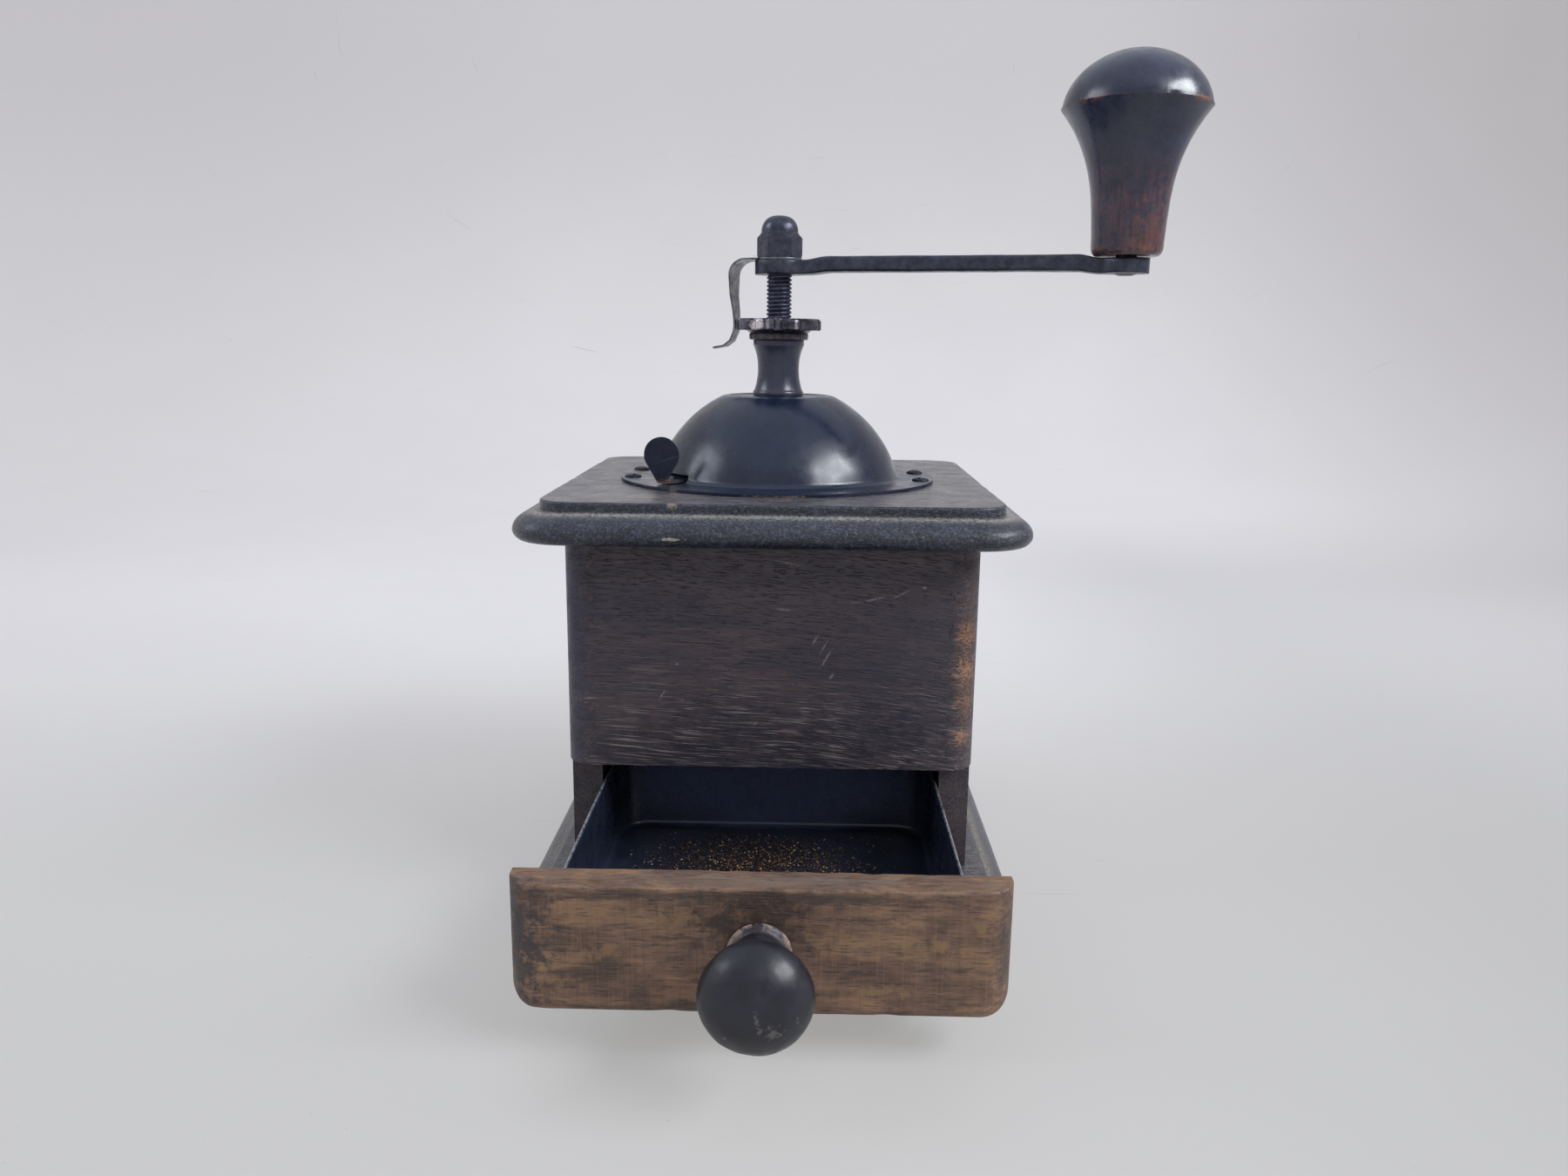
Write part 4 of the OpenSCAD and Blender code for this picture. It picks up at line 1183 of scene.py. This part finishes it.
@dataclass
class Gear:
    """The cast housing, the burrs and their bearing under the top board."""

    bridge_round: float = 0.3
    screw_round: float = 0.06

    def dress(self) -> None:
        """Finish the pieces."""
        iron = WorkedSteel("cast_iron", "#2b2928", "#4a4745", rust_share=0.5, metallic=0.5,
                           roughness=0.62, relief_mm=0.15, brush_mm=(1.5, 1.5))
        dress(iron, {"burr_housing": 0.0, "bearing_bridge": self.bridge_round})
        burr = WorkedSteel("burr_iron", "#3d3b3a", "#6b6866", rust_share=0.3, roughness=0.48)
        dress(burr, {"burr_cone": 0.0})
        steel = WorkedSteel("gear_screw_steel", "#4b4a4c", "#858488", rust_share=0.4)
        nodes = ("housing_screws", "bridge_screws", "burr_pin")
        dress(steel, dict.fromkeys(nodes, self.screw_round))


@dataclass
class Crank:
    """The threaded spindle, its washer and nut, and the crank with its knob."""

    angle_deg: float = -15.0
    spindle_r: float = 4.0
    pitch: float = 1.25
    thread_depth: float = 0.62
    thread_from: float = 168.1
    seat: float = 189.6
    top: float = 203.0
    journal_r: float = 3.5
    journal_foot: float = 73.5
    burr_foot: float = 82.5
    flats: float = 6.0
    reach: float = 106.0
    hub_r: float = 7.8
    tip_r: float = 6.8
    end_t: float = 4.0
    bar_t: float = 4.7
    bar_w: float = 9.0
    knob_foot: float = 194.0
    knob_h: float = 57.0
    knob_r: float = 21.3
    waist_r: float = 10.8
    ridge_share: float = 0.72
    rivet_r: float = 3.1
    recess_r: float = 5.2
    cap_across: float = 12.5
    cap_turn_deg: float = 44.5
    cap_hex_top: float = 201.5
    cap_dome_r: float = 5.85
    cap_top: float = 207.25

    def dress(self) -> None:
        """Make and finish the pieces."""
        blued = WorkedSteel("blued_steel", "#2b2d39", "#464957", "#54443e", 0.1, 0.5, 0.32,
                            relief_mm=0.06).build()
        thread = WorkedSteel("thread_steel", "#36364a", "#5c5c70", "#5a4a4c", 0.2, 0.6, 0.4)
        washer = WorkedSteel("washer_steel", "#37343d", "#655e69", "#4a3a36", 0.3, 0.7, 0.36)
        bright = (
            Spot((0, 0, 175.5), (7.5, 7.5, 0.6), "#8b7563", 0.8, 0.6, 1.0, 0.8),
            # Painted highlights: a near-white reflection and two pale bars on the nut's front
            # facets
            Spot((-6.9, -11.7, 173.3), (2.9, 3, 2.9), "#eadfe2", 0.95, 0.4, 0.9, 0.2),
            Spot((-3.2, -13, 173.3), (0.6, 2, 2.4), "#b9b2b8", 0.7, 0.5, 0.9, 0.5),
            Spot((5.6, -12, 173.3), (0.7, 2, 2.4), "#c4bcc1", 0.7, 0.5, 0.9, 0.5))
        nut = WorkedSteel("nut_steel", "#2f303b", "#6d6c78", "#6b5044", 0.2, 0.9, 0.24,
                          relief_mm=0.05, brush_mm=(2, 2), spots=bright)
        leaf = WorkedSteel("leaf_steel", "#4d4f54", "#8d8f92", "#54473f", 0.15, 0.9, 0.32,
                           Grain.Z, (8, 0.3))
        rivet = WorkedSteel("rivet_steel", "#4d4b4a", "#7d7a78", rust_share=0.4, metallic=0.85)
        self.spindle(thread.build())
        self.arm(blued)
        self.knob()
        self.cap_nut(blued)
        for finish, slot, node, width, bevel_deg in (
                (washer, "dark_steel", "spindle_washer", 0.5, 40),
                (nut, "dark_steel", "adjusting_nut", 0.25, 40),
                (leaf, "spring_steel", "locking_leaf", 0.1, 50),
                (rivet, "dark_steel", "knob_rivet", 0.1, 50)):
            dress(finish, {node: width}, bevel_deg)

    def spindle(self, material: bpy.types.Material) -> None:
        """Cut the spindle with a true helical thread.

        Args:
            material: Its finish.
        """
        steps, rings = 48, []
        heights = [self.journal_foot, self.journal_foot + 0.6, self.burr_foot - 0.01,
                   self.burr_foot, *np.arange(self.burr_foot + 4, self.thread_from, 4),
                   *np.arange(self.thread_from, self.seat, self.pitch / 8),
                   self.seat, self.seat + 0.01, self.seat + 2, self.top - 1, self.top]
        for z in heights:
            r = np.full(steps, self.spindle_r)
            if z < self.burr_foot - 0.005:
                r[:] = self.journal_r - (0.6 if z == self.journal_foot else 0)
            elif self.thread_from <= z < self.seat:
                phase = (z / self.pitch - turns(steps) / (2 * math.pi)) % 1.0
                fade = min(1.0, (z - self.thread_from) / self.pitch, (self.seat - z) / self.pitch)
                groove = 1 - np.abs(2 * phase - 1) * 1.6
                r -= self.thread_depth * np.clip(groove, 0, 0.85) / 0.85 * fade
            elif z >= self.top:
                r -= 1.0
            ring = round_ring(r, z, steps)
            if z > self.seat:
                ring[:, 1] = np.clip(ring[:, 1], -self.flats / 2, self.flats / 2)
            rings.append(ring)
        points, faces = loft(rings)
        piece = mesh_piece("spindle_threaded", spun(points, self.angle_deg), faces, "crank",
                           material, 50)
        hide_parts("spindle")

    def arm(self, material: bpy.types.Material) -> None:
        """Forge the arm: a flat hub, a rounded bar and a flat outer end.

        Args:
            material: Its finish.
        """
        hub, tip = -self.hub_r, self.reach + self.tip_r
        stations = sorted({x for start, end, count in (
            (hub, hub + 2.4, 9), (hub + 2.4, 20, 26), (20, 88, 40), (88, tip - 2.2, 26),
            (tip - 2.2, tip, 9)) for x in np.linspace(start, end, count)})
        c, s = np.cos(turns(40)), np.sin(turns(40))
        rings = []
        for x in stations:
            rise = self.ease(x, 9.0, 17.0) * (1 - self.ease(x, 92.0, 99.0))
            low = self.seat - 0.5 + 0.6 * rise
            high = self.seat + self.end_t + (self.bar_t + 0.5 - self.end_t) * rise
            # A hammered bar is rounder than its flat ends
            power = 2 / (9.0 - 4.4 * rise)
            y = self.half_width(x) * np.sign(c) * np.abs(c) ** power
            z = (high + low) / 2 + (high - low) / 2 * np.sign(s) * np.abs(s) ** power
            rings.append(np.stack([np.full(len(c), x), y, z], 1))
        points, faces = loft(rings)
        along, centre_z = points[:, 0], self.seat + 2.6
        middle = np.clip((along - 14) / 6, 0, 1) * np.clip((94 - along) / 6, 0, 1)
        hammer = 0.07 * (rumple(points, 9, 5.0) + 1) * middle
        points[:, 1] *= 1 - hammer / (self.bar_w / 2)
        points[:, 2] += (centre_z - points[:, 2]) * hammer / (self.bar_t / 2)
        piece = mesh_piece("crank_arm_forged", spun(points, self.angle_deg), faces, "crank",
                           material, 50)
        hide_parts("crank_arm")

    @staticmethod
    def ease(x: float, start: float, end: float) -> float:
        """Smooth step from 0 at the start to 1 at the end."""
        t = min(max((x - start) / (end - start), 0.0), 1.0)
        return t * t * (3 - 2 * t)

    def half_width(self, x: float) -> float:
        """Half the arm's width: two round ends that run smoothly into the bar.

        Args:
            x: Distance from the spindle along the arm.

        Returns:
            The half width.
        """
        hub = math.sqrt(max(self.hub_r ** 2 - x ** 2, 0.0))
        tip = math.sqrt(max(self.tip_r ** 2 - (x - self.reach) ** 2, 0.0))
        if not 0 < x < self.reach:
            return max(hub, tip, 0.02)
        bar, smooth = self.bar_w / 2 - 0.5 * self.ease(x, 18, 90), 6.0
        return sum(max(v, 0.02) ** smooth for v in (hub, tip, bar)) ** (1 / smooth)

    def cap_nut(self, material: bpy.types.Material) -> None:
        """Make the acorn nut: a chamfered hexagon under a blunt dome.

        Args:
            material: Its finish.
        """
        foot, hex_top = self.seat + self.end_t + 0.6, self.cap_hex_top
        dome_foot, chamfer = hex_top + 0.3, 1.1
        side = (turns(96) + math.radians(self.cap_turn_deg)) % (math.pi / 3) - math.pi / 6
        hexagon = self.cap_across / 2 / np.cos(side)
        rings = []
        for z in (foot, foot + 0.25, *np.linspace(foot + 1, hex_top - 1.4, 4),
                  *np.linspace(hex_top - chamfer, hex_top, 7)):
            # The corners are turned down to a cone at both ends
            gap = max(foot + 0.5 - z, 0.0) + max(z - (hex_top - chamfer), 0.0)
            corner = self.cap_across / math.sqrt(3) - gap
            rings.append(round_ring(np.minimum(hexagon, corner), z))
        rings.append(round_ring(self.cap_dome_r + 0.35, hex_top + 0.02))
        for a in np.radians(np.arange(2, 92, 6)):
            rings.append(round_ring(self.cap_dome_r * math.cos(a) ** 0.72,
                                    dome_foot + (self.cap_top - dome_foot) * math.sin(a) ** 0.9))
        points, faces = loft(rings)
        piece = mesh_piece("cap_nut_acorn", spun(points, self.angle_deg), faces, "crank",
                           material, 28)
        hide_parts("cap_nut")

    def knob(self) -> None:
        """Turn the crank knob and wear it at its ridge and stem."""
        top, waist, foot_h = self.knob_h, self.waist_r, 2.6
        ridge, drop = self.ridge_share * top, 1.8
        profile = [(self.rivet_r, 0.0), (4.5, 0.0)]
        profile += arc(waist - 2.2, foot_h, 1.8, foot_h, -90, 0, 5)
        profile += [(waist - 0.4 + 0.4 * min(1, 4 * t) + (self.knob_r - waist) * t ** 2.9,
                     foot_h + (ridge - foot_h) * t) for t in np.linspace(0, 1, 29)[1:]]
        profile += arc(0, ridge - drop, self.knob_r - 0.1, top - 0.2 - ridge + drop, 6, 76, 26)
        profile += [(self.recess_r, top - 0.9), (self.recess_r, top - 2.6),
                    (self.rivet_r, top - 2.6)]
        points, faces = loft(turned_rings(resample(profile), 128), Ends.JOINED)
        z, radius = points[:, 2], np.hypot(points[:, 0], points[:, 1])
        outer = radius > 6.5
        ridge_line = bump(z - ridge, 0.7) * outer
        nicks = np.clip(rumple(points, 3.2, 9.0) - 0.15, 0, 1) * ridge_line * 1.3
        worn_depth = 0.08 * (rumple(points, 16, 2.0) + 1) + 0.3 * nicks
        points[:, :2] *= (1 - outer * worn_depth / radius)[:, None]
        wear = ridge_line * np.clip(0.55 + 1.3 * rumple(points, 14, 3.0), 0, 1)
        wear = np.maximum(wear, bump(z - 1.5, 1.2) * outer * 0.4)
        stem = np.clip((30 - z) / 16, 0, 1) * outer
        lacquer = TurnedLacquer("crank_knob_lacquer", Grain.Z, spots=(
            Spot((106, -36, 201), (7, 6, 11), "#6b4233", 0.4, 0.9, 3.0, 0.9),))
        place = spun(points + (self.reach, 0, self.knob_foot), self.angle_deg)
        piece = mesh_piece("crank_knob_turned", place, faces, "knob",
                           lacquer.build(), 45, {"wear": wear, "stem": stem})
        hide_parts("crank_knob")


@dataclass
class Drawer:
    """The drawer: its wooden front, pressed tray, turned knob and the coffee left in it."""

    out: float = 75.0
    half_w: float = 60.0
    front_t: float = 10.0
    shut_gap: float = 0.1
    foot: float = 11.9
    top: float = 44.5
    corner_r: float = 8.0
    tray_half_w: float = 50.4
    tray_l: float = 100.0
    tray_foot: float = 11.7
    tray_top: float = 38.2
    tray_r: float = 6.0
    tray_bend_r: float = 3.0
    tray_back_r: float = 11.5
    sheet: float = 0.85
    knob_l: float = 28.0
    knob_r: float = 13.3
    knob_waist_r: float = 6.6
    crumbs: int = 9000
    crumb_seed: int = 7
    crumb_r: tuple[float, float] = (0.17, 0.47)
    heap: tuple[float, float] = (-4.0, -58.0)
    heap_spread: tuple[float, float] = (33.0, 26.0)
    heap_h: float = 0.8
    floor_half_w: float = 43.0
    floor_y: tuple[float, float] = (-118.0, -33.0)

    def dress(self) -> None:
        """Make and finish the pieces."""
        self.front()
        self.tray()
        self.knob()
        self.coffee()
        steel = WorkedSteel("drawer_screw_steel", "#3c3c40", "#7a7a80", rust_share=0.5,
                            metallic=0.85)
        dress(steel, dict.fromkeys(("tray_screws", "drawer_knob_screw"), 0.06))

    def front(self) -> None:
        """Shape the drawer front with rounded, knocked edges."""
        height = self.top - self.foot
        levels = [0, 0.12, 0.35, 0.7, 1.1, 1.6, 2.2, 2.9, 3.6, 4.3, 5.0,
                  *np.linspace(6.0, height - 2.0, 18),
                  *(height - d for d in (1.4, 1.0, 0.7, 0.45, 0.25, 0.1, 0.02, 0.0))]
        rings = []
        for z in levels:
            # The edge's radius at the foot and at the top of the ends, the face and the back
            insets = [self.round_in(z, low) + self.round_in(height - z, high)
                      for low, high in ((5.0, 0.5), (1.8, 0.8), (0.5, 0.5))]
            rings.append(self.plan(*insets, z))
        first, last = rings[0], rings[-1]
        for inset, share in ((2.2, 0.35), (3.4, 0.7)):
            for ring, place in ((first, 0), (last, len(rings) + 1)):
                middle = (ring.min(0) + ring.max(0)) / 2
                smaller = scaled(ring, (1 - 2 * inset / np.ptp(ring[:, 0]), 1 - share), middle)
                rings.insert(place, smaller)
        points, faces = loft(rings)
        points += (0, self.front_t / 2 - self.half_w - self.out, self.foot)
        wear = self.knock(points)
        piece = mesh_piece("drawer_front_worn", points, faces, "drawer",
                           self.front_wood().build(), 50, {"wear": wear})
        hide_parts("drawer_front")

    @staticmethod
    def front_wood() -> StainedWood:
        """Choose the front's wood: the stain is rubbed off in patches and left in streaks.

        Returns:
            The finish.
        """
        streaks = tuple(
            Spot((x, -135, z), (half, 3, wide), "#332a27", 0.7, 0.8, 0.9, 0.9, lean, True)
            for x, z, half, wide, lean in (
                (-34, 41.6, 26, 0.8, 1), (24, 41.2, 34, 0.7, -1), (-44, 33.5, 12, 0.7, 0),
                (-20, 31.5, 12, 0.8, 2), (-38, 24.5, 10, 0.6, 0), (22, 23.5, 9, 0.7, 1),
                (26, 37.0, 14, 0.7, -1), (44, 24.5, 9, 0.7, 1), (-12, 20.5, 8, 0.8, 3)))
        pale_patches = tuple(
            Spot((x, -135, z), (half, 3, tall), "#97764f", 0.6, 0.9, 3.5, 0.8)
            for x, z, half, tall in (
                (-35, 39.0, 9, 2.6), (-19, 37.5, 6, 2.4), (-37, 27.5, 8, 3.0), (40, 29.5, 9, 3.6),
                (19, 33.0, 7, 3.0), (52, 36.0, 4, 3.0), (-48, 20.0, 7, 2.2), (30, 18.5, 9, 2.2)))
        # Darker round the knob and along the face's top and foot, a grey top face, and painted
        # shade on the two ends
        grime_and_end_shade = (
            Spot((-1, -135, 35), (19, 3, 12), "#2b2424", 0.85, 0.9, 4.0, 0.6),
            # Painted shade where the two rounded ends turn away, with some wear in it
            Spot((-61, -134, 28), (14, 8, 28), "#2b2b33", 0.9, 0.6, 3.0),
            Spot((60, -133, 28), (6, 6, 22), "#353234", 0.75, 0.9, 3.0),
            Spot((0, -135, 42.4), (70, 3, 1.5), "#37302c", 0.7, 0.7, 1.6, streaky=True),
            Spot((0, -135, 13), (64, 4, 2.2), "#3f352f", 0.6, 0.8, 2.0, streaky=True),
            Spot((0, -130, 45), (70, 6.5, 1.3), "#756a60", 0.8, 0.5, 1.6, streaky=True))
        return StainedWood(
            "drawer_front_wood", Grain.X, "#4a382d", "#6b5141", "#87684c", "#352a25",
            wear="#8f7357", wave_mm=3.0, relief_mm=0.14, hatch=0.3,
            streak_mm=(11, 1.3), figure_mm=(17, 8), pore_mm=(5, 0.55), figure_share=0.62,
            vessel_share=0.5, spots=pale_patches + streaks + grime_and_end_shade)

    @staticmethod
    def round_in(depth: float, radius: float) -> float:
        """How far a rounded edge lies in, at a depth below the face."""
        gap = max(radius - depth, 0.0)
        return radius - math.sqrt(max(radius ** 2 - gap ** 2, 0.0))

    def plan(self, side: float, face: float, rear: float, z: float) -> np.ndarray:
        """The front's outline from above, with two rounded corners in front.

        Args:
            side: Inset of the two ends.
            face: Inset of the front face.
            rear: Inset of the rear face.
            z: Height.

        Returns:
            The ring, anticlockwise from above.
        """
        r = max(self.corner_r - max(side, face), 2.0)
        end_x, front_y = self.half_w - side, face - self.front_t / 2
        rear_y, turn_x, turn_y = self.front_t / 2 - rear - self.shut_gap, end_x - r, front_y + r
        points = np.concatenate([
            np.linspace((-turn_x, front_y), (turn_x, front_y), 80),
            arc(turn_x, turn_y, r, r, -90, 0, 11)[1:],
            np.linspace((end_x, turn_y), (end_x, rear_y), 5)[1:],
            np.linspace((end_x, rear_y), (-end_x, rear_y), 80)[1:],
            np.linspace((-end_x, rear_y), (-end_x, turn_y), 5)[1:],
            arc(-turn_x, turn_y, r, r, 180, 270, 11)[1:-1]])
        return np.column_stack([points, np.full(len(points), z)])

    def knock(self, points: np.ndarray) -> np.ndarray:
        """Dent the front's edges and leave its face slightly uneven.

        Args:
            points: The front's points in place, which are moved.

        Returns:
            The wear at each.
        """
        upper, lower = bump(self.top - points[:, 2], 1.2), bump(points[:, 2] - self.foot, 2.0)
        facing = bump(points[:, 1] + self.half_w + self.out, 1.5)
        dents = np.clip(rumple(points, 6, 21.0) - 0.05, 0, 1)
        points[:, 2] -= upper * (dents + 0.25 * (rumple(points, 26, 4.0) + 1)) * 0.8
        points[:, 2] += lower * dents * 0.5
        points[:, 1] += facing * (0.22 * (rumple(points, 18, 6.0) + 1) + 0.5 * dents * upper)
        return np.clip((upper + lower) * 0.5 * facing * (0.2 + rumple(points, 11, 2.0)), 0, 1)

    def tray(self) -> None:
        """Press the tray from one sheet, with soft corners and a slightly wavy rim."""
        half_y, t, r, b = self.tray_l / 2, self.sheet, self.tray_r, self.tray_bend_r
        foot, rim = self.tray_foot, self.tray_top

        def ring(inset: float, z: float) -> np.ndarray:
            """The tray's outline at one depth from its outside."""
            return square_ring(self.tray_half_w - inset, half_y - inset, max(r - inset, 0.6), z,
                               36, 10, self.tray_back_r - inset)

        bend, heights = np.radians(np.linspace(0, 90, 9)), np.linspace(foot + b, rim - 0.5, 9)
        rings = [ring(b - b * math.sin(a), foot + b - b * math.cos(a)) for a in bend]
        rings += [ring(0, z) for z in heights[1:]]
        rings += [ring(0.12, rim - 0.15), ring(t / 2, rim), ring(t - 0.12, rim - 0.15)]
        rings += [ring(t, z) for z in heights[::-1]]
        rings += [ring(b - (b - t) * math.sin(a), foot + b - (b - 1.0) * math.cos(a))
                  for a in bend[-2::-1]]
        low, high = ([scaled(edge, (share, share), edge.mean(0)) for share in (0.2, 0.45)]
                     for edge in (rings[0], rings[-1]))
        points, faces = loft(low + rings + high[::-1])
        height = np.clip((points[:, 2] - foot - r) / (rim - foot - r), 0, 1)
        bow = 0.5 * np.clip(rumple(points * (1, 1, 0.2), 42, 5.0), 0, 1) * height
        side_wall = np.abs(points[:, 0]) > self.tray_half_w - 1.5
        points[:, 0] -= np.sign(points[:, 0]) * bow * side_wall
        wave = 0.35 * np.clip(rumple(points * (1, 1, 0), 17, 8.0), 0, 1)
        points[:, 2] -= wave * (height > 0.97)
        points[:, 1] += -self.half_w + self.front_t + half_y - self.out
        piece = mesh_piece("drawer_tray_pressed", points, faces, "drawer",
                           JapannedTin().build(), 40, {"wear": height > 0.985})
        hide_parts("drawer_tray")

    def knob(self) -> None:
        """Turn the drawer knob and chip its face."""
        length, waist, head = self.knob_l, self.knob_waist_r, 0.32 * self.knob_l
        neck, foot_r = length - 2 * head, waist + 1.2
        profile = [(0.4, 0), (foot_r - 0.3, 0), (foot_r, 0.3), (foot_r, 0.9), (waist + 0.3, 1.6)]
        profile += [(waist + 1.2 * t ** 3, 2 + (neck - 2.6) * t) for t in np.linspace(0, 1, 13)]
        profile += arc(0, length - head, self.knob_r, head, -55, 88, 44)
        points, faces = loft(turned_rings(resample(profile), 112))
        radius = np.maximum(np.hypot(points[:, 0], points[:, 1]), 1e-6)
        lumps = 0.2 * (rumple(points, 9, 13.0) + 1) + 0.08 * (rumple(points, 2.5, 3.0) + 1)
        lumps *= (points[:, 2] > 0.5) * np.minimum(radius / 5, 1)
        points[:, :2] *= (1 - lumps / radius)[:, None]
        points[:, 2] -= (points[:, 2] > length - head) * 0.12 * (rumple(points, 5, 6.0) + 1)
        x, y, z = points.T
        place = np.stack([x, -self.half_w - self.out - z, (self.foot + self.top) / 2 + y], 1)
        chips = tuple(
            Spot((x, -163, z), (wide, 3, tall), "#6d6964", 0.5, 0.5, grit, 1.2, lean)
            for x, z, wide, tall, grit, lean in (
                (4.4, 24.6, 2.6, 1.5, 1.5, -25), (0.4, 28.2, 0.5, 1.5, 0.9, 12),
                (9.4, 26.0, 0.5, 1.3, 0.8, 8), (-6.8, 22.4, 0.9, 0.4, 0.7, 20),
                (7.0, 19.2, 3.2, 0.9, 0.6, 38)))
        lacquer = TurnedLacquer("drawer_knob_lacquer", Grain.Y, "#12131c", "#1e1f2a", "#3a2a2c",
                                "#a08b7a", 0.42, 0.6, 0.08, chips)
        values = {"wear": bump(z - 0.6, 0.7), "stem": np.clip((neck - z) / 6, 0, 1) * 0.4}
        piece = mesh_piece("drawer_knob_turned", place, faces, "drawer",
                           lacquer.build(), 45, values)
        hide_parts("drawer_knob")

    def coffee(self) -> None:
        """Scatter ground coffee on the tray's floor, each crumb an uneven octahedron."""
        rng = random.Random(self.crumb_seed)
        floor_z, (small, large) = self.tray_foot + 1.0, self.crumb_r
        crumb = [face for a, b in ((0, 2), (2, 1), (1, 3), (3, 0))
                 for face in ((a, b, 4), (b, a, 5))]
        points, faces, tones = [], [], []
        for _ in range(self.crumbs):
            dx, dy = rng.gauss(0, 0.5), rng.gauss(0, 0.5)
            x = self.heap[0] + dx * self.heap_spread[0]
            y = self.heap[1] + dy * self.heap_spread[1]
            if abs(x) > self.floor_half_w or not self.floor_y[0] < y < self.floor_y[1]:
                continue
            # Most crumbs are small
            size = small + (large - small) * rng.random() ** 2
            heaped = self.heap_h * math.exp(-(dx * dx + dy * dy) * 3)
            z = floor_z + size * 0.6 + rng.random() * heaped
            turn, r = rng.uniform(0, math.pi), [size * rng.uniform(0.6, 1.1) for _ in range(6)]
            c, s = math.cos(turn), math.sin(turn)
            faces += [tuple(len(points) + k for k in face) for face in crumb]
            points += [(x + c * r[0], y + s * r[0], z), (x - c * r[1], y - s * r[1], z),
                       (x - s * r[2], y + c * r[2], z), (x + s * r[3], y - c * r[3], z),
                       (x, y, z + 0.7 * r[4]), (x, y, z - 0.6 * r[5])]
            tones += [rng.random()] * 6
        mesh_piece("coffee_grounds", np.array(points), faces, "drawer",
                   GroundCoffee().build(), 20, {"tone": np.array(tones)})


# ---- Studio ----

@dataclass
class Studio:
    """Camera, soft light and a pale paper sweep."""

    focal_px: float = 1344.7
    place: tuple[float, float, float] = (8.6, -385.7, 168.8)
    pitch_deg: float = 11.94
    yaw_deg: float = -0.88
    roll_deg: float = 0.70
    aim_m: tuple[float, float, float] = (0, -0.03, 0.13)
    floor_r: float = 800.0
    bend_r: float = 600.0
    wall_top: float = 1300.0
    sink: float = 0.2

    def camera(self) -> None:
        """Place the camera."""
        pitch, yaw, roll = (math.radians(a) for a in (self.pitch_deg, self.yaw_deg, self.roll_deg))
        ahead = Vector((math.sin(yaw) * math.cos(pitch), math.cos(yaw) * math.cos(pitch),
                        -math.sin(pitch)))
        right = Vector((math.cos(yaw), -math.sin(yaw), 0))
        up = right.cross(ahead)
        side = right * math.cos(roll) + up * math.sin(roll)
        over = up * math.cos(roll) - right * math.sin(roll)
        data = bpy.data.cameras.new("camera")
        data.sensor_width = SENSOR_MM
        data.lens = self.focal_px * SENSOR_MM / IMAGE_W
        data.clip_start, data.clip_end = 0.01, 20
        camera = new_object("camera", data)
        turn = Matrix((side, over, -ahead)).transposed().to_4x4()
        camera.matrix_world = Matrix.Translation(Vector(self.place) * MM) @ turn
        bpy.context.scene.camera = camera

    def light(self) -> None:
        """Light the object evenly, a little more from the upper right."""
        for name, place_m, size_m, watts, tint in (
                ("window", (0.96, -0.46, 0.88), (0.9, 0.4), 17.0, "#f6f9ff"),
                ("far_window", (-1.12, -0.15, 0.80), (0.6, 0.5), 4.5, "#eaf1ff")):
            data = bpy.data.lights.new(name, "AREA")
            data.shape, data.energy, data.color = "RECTANGLE", watts, linear(tint)[:3]
            data.size, data.size_y = size_m
            lamp = new_object(name, data)
            lamp.visible_camera, lamp.location = False, place_m
            towards = Vector(self.aim_m) - Vector(place_m)
            lamp.rotation_euler = towards.to_track_quat("-Z", "Y").to_euler()
        world = bpy.data.worlds.new("room")
        bpy.context.scene.world = world
        world.use_nodes = True
        shader = world.node_tree.nodes["Background"]
        shader.inputs["Color"].default_value = linear("#dfe4f1")
        shader.inputs["Strength"].default_value = 0.95

    def sweep(self) -> None:
        """Lay the paper: a round floor that curves up far from the object."""
        floor, bend = self.floor_r, self.bend_r
        profile = [(r, 0.0) for r in (1, 60, 140, 260, 400, 600, floor)]
        profile += arc(floor, bend, bend, bend, -84, -6, 13)
        profile += [(floor + bend, self.wall_top)]
        points, faces = loft(turned_rings(profile), Ends.OPEN_LAST)
        mesh = bpy.data.meshes.new("paper_sweep")
        # It lies a little lower than the base, so that the two never share a plane
        mesh.from_pydata(((points - (0, 0, self.sink)) * MM).tolist(), [], faces)
        mesh.shade_smooth()
        mesh.materials.append(BackdropPaper().build())
        paper = new_object("paper_sweep", mesh)
        paper.visible_shadow = False

    def build(self) -> None:
        """Set up the studio."""
        bpy.context.scene.view_settings.view_transform = "Standard"
        self.camera()
        self.light()
        self.sweep()


def main() -> None:
    """Build every sub-assembly."""
    logging.basicConfig(level=logging.INFO, format="%(message)s")
    Studio().build()
    for part in (Box(), Dome(), Gear(), Crank(), Drawer()):
        part.dress()
        log.info("%s done", type(part).__name__)


if __name__ == "__main__":
    main()
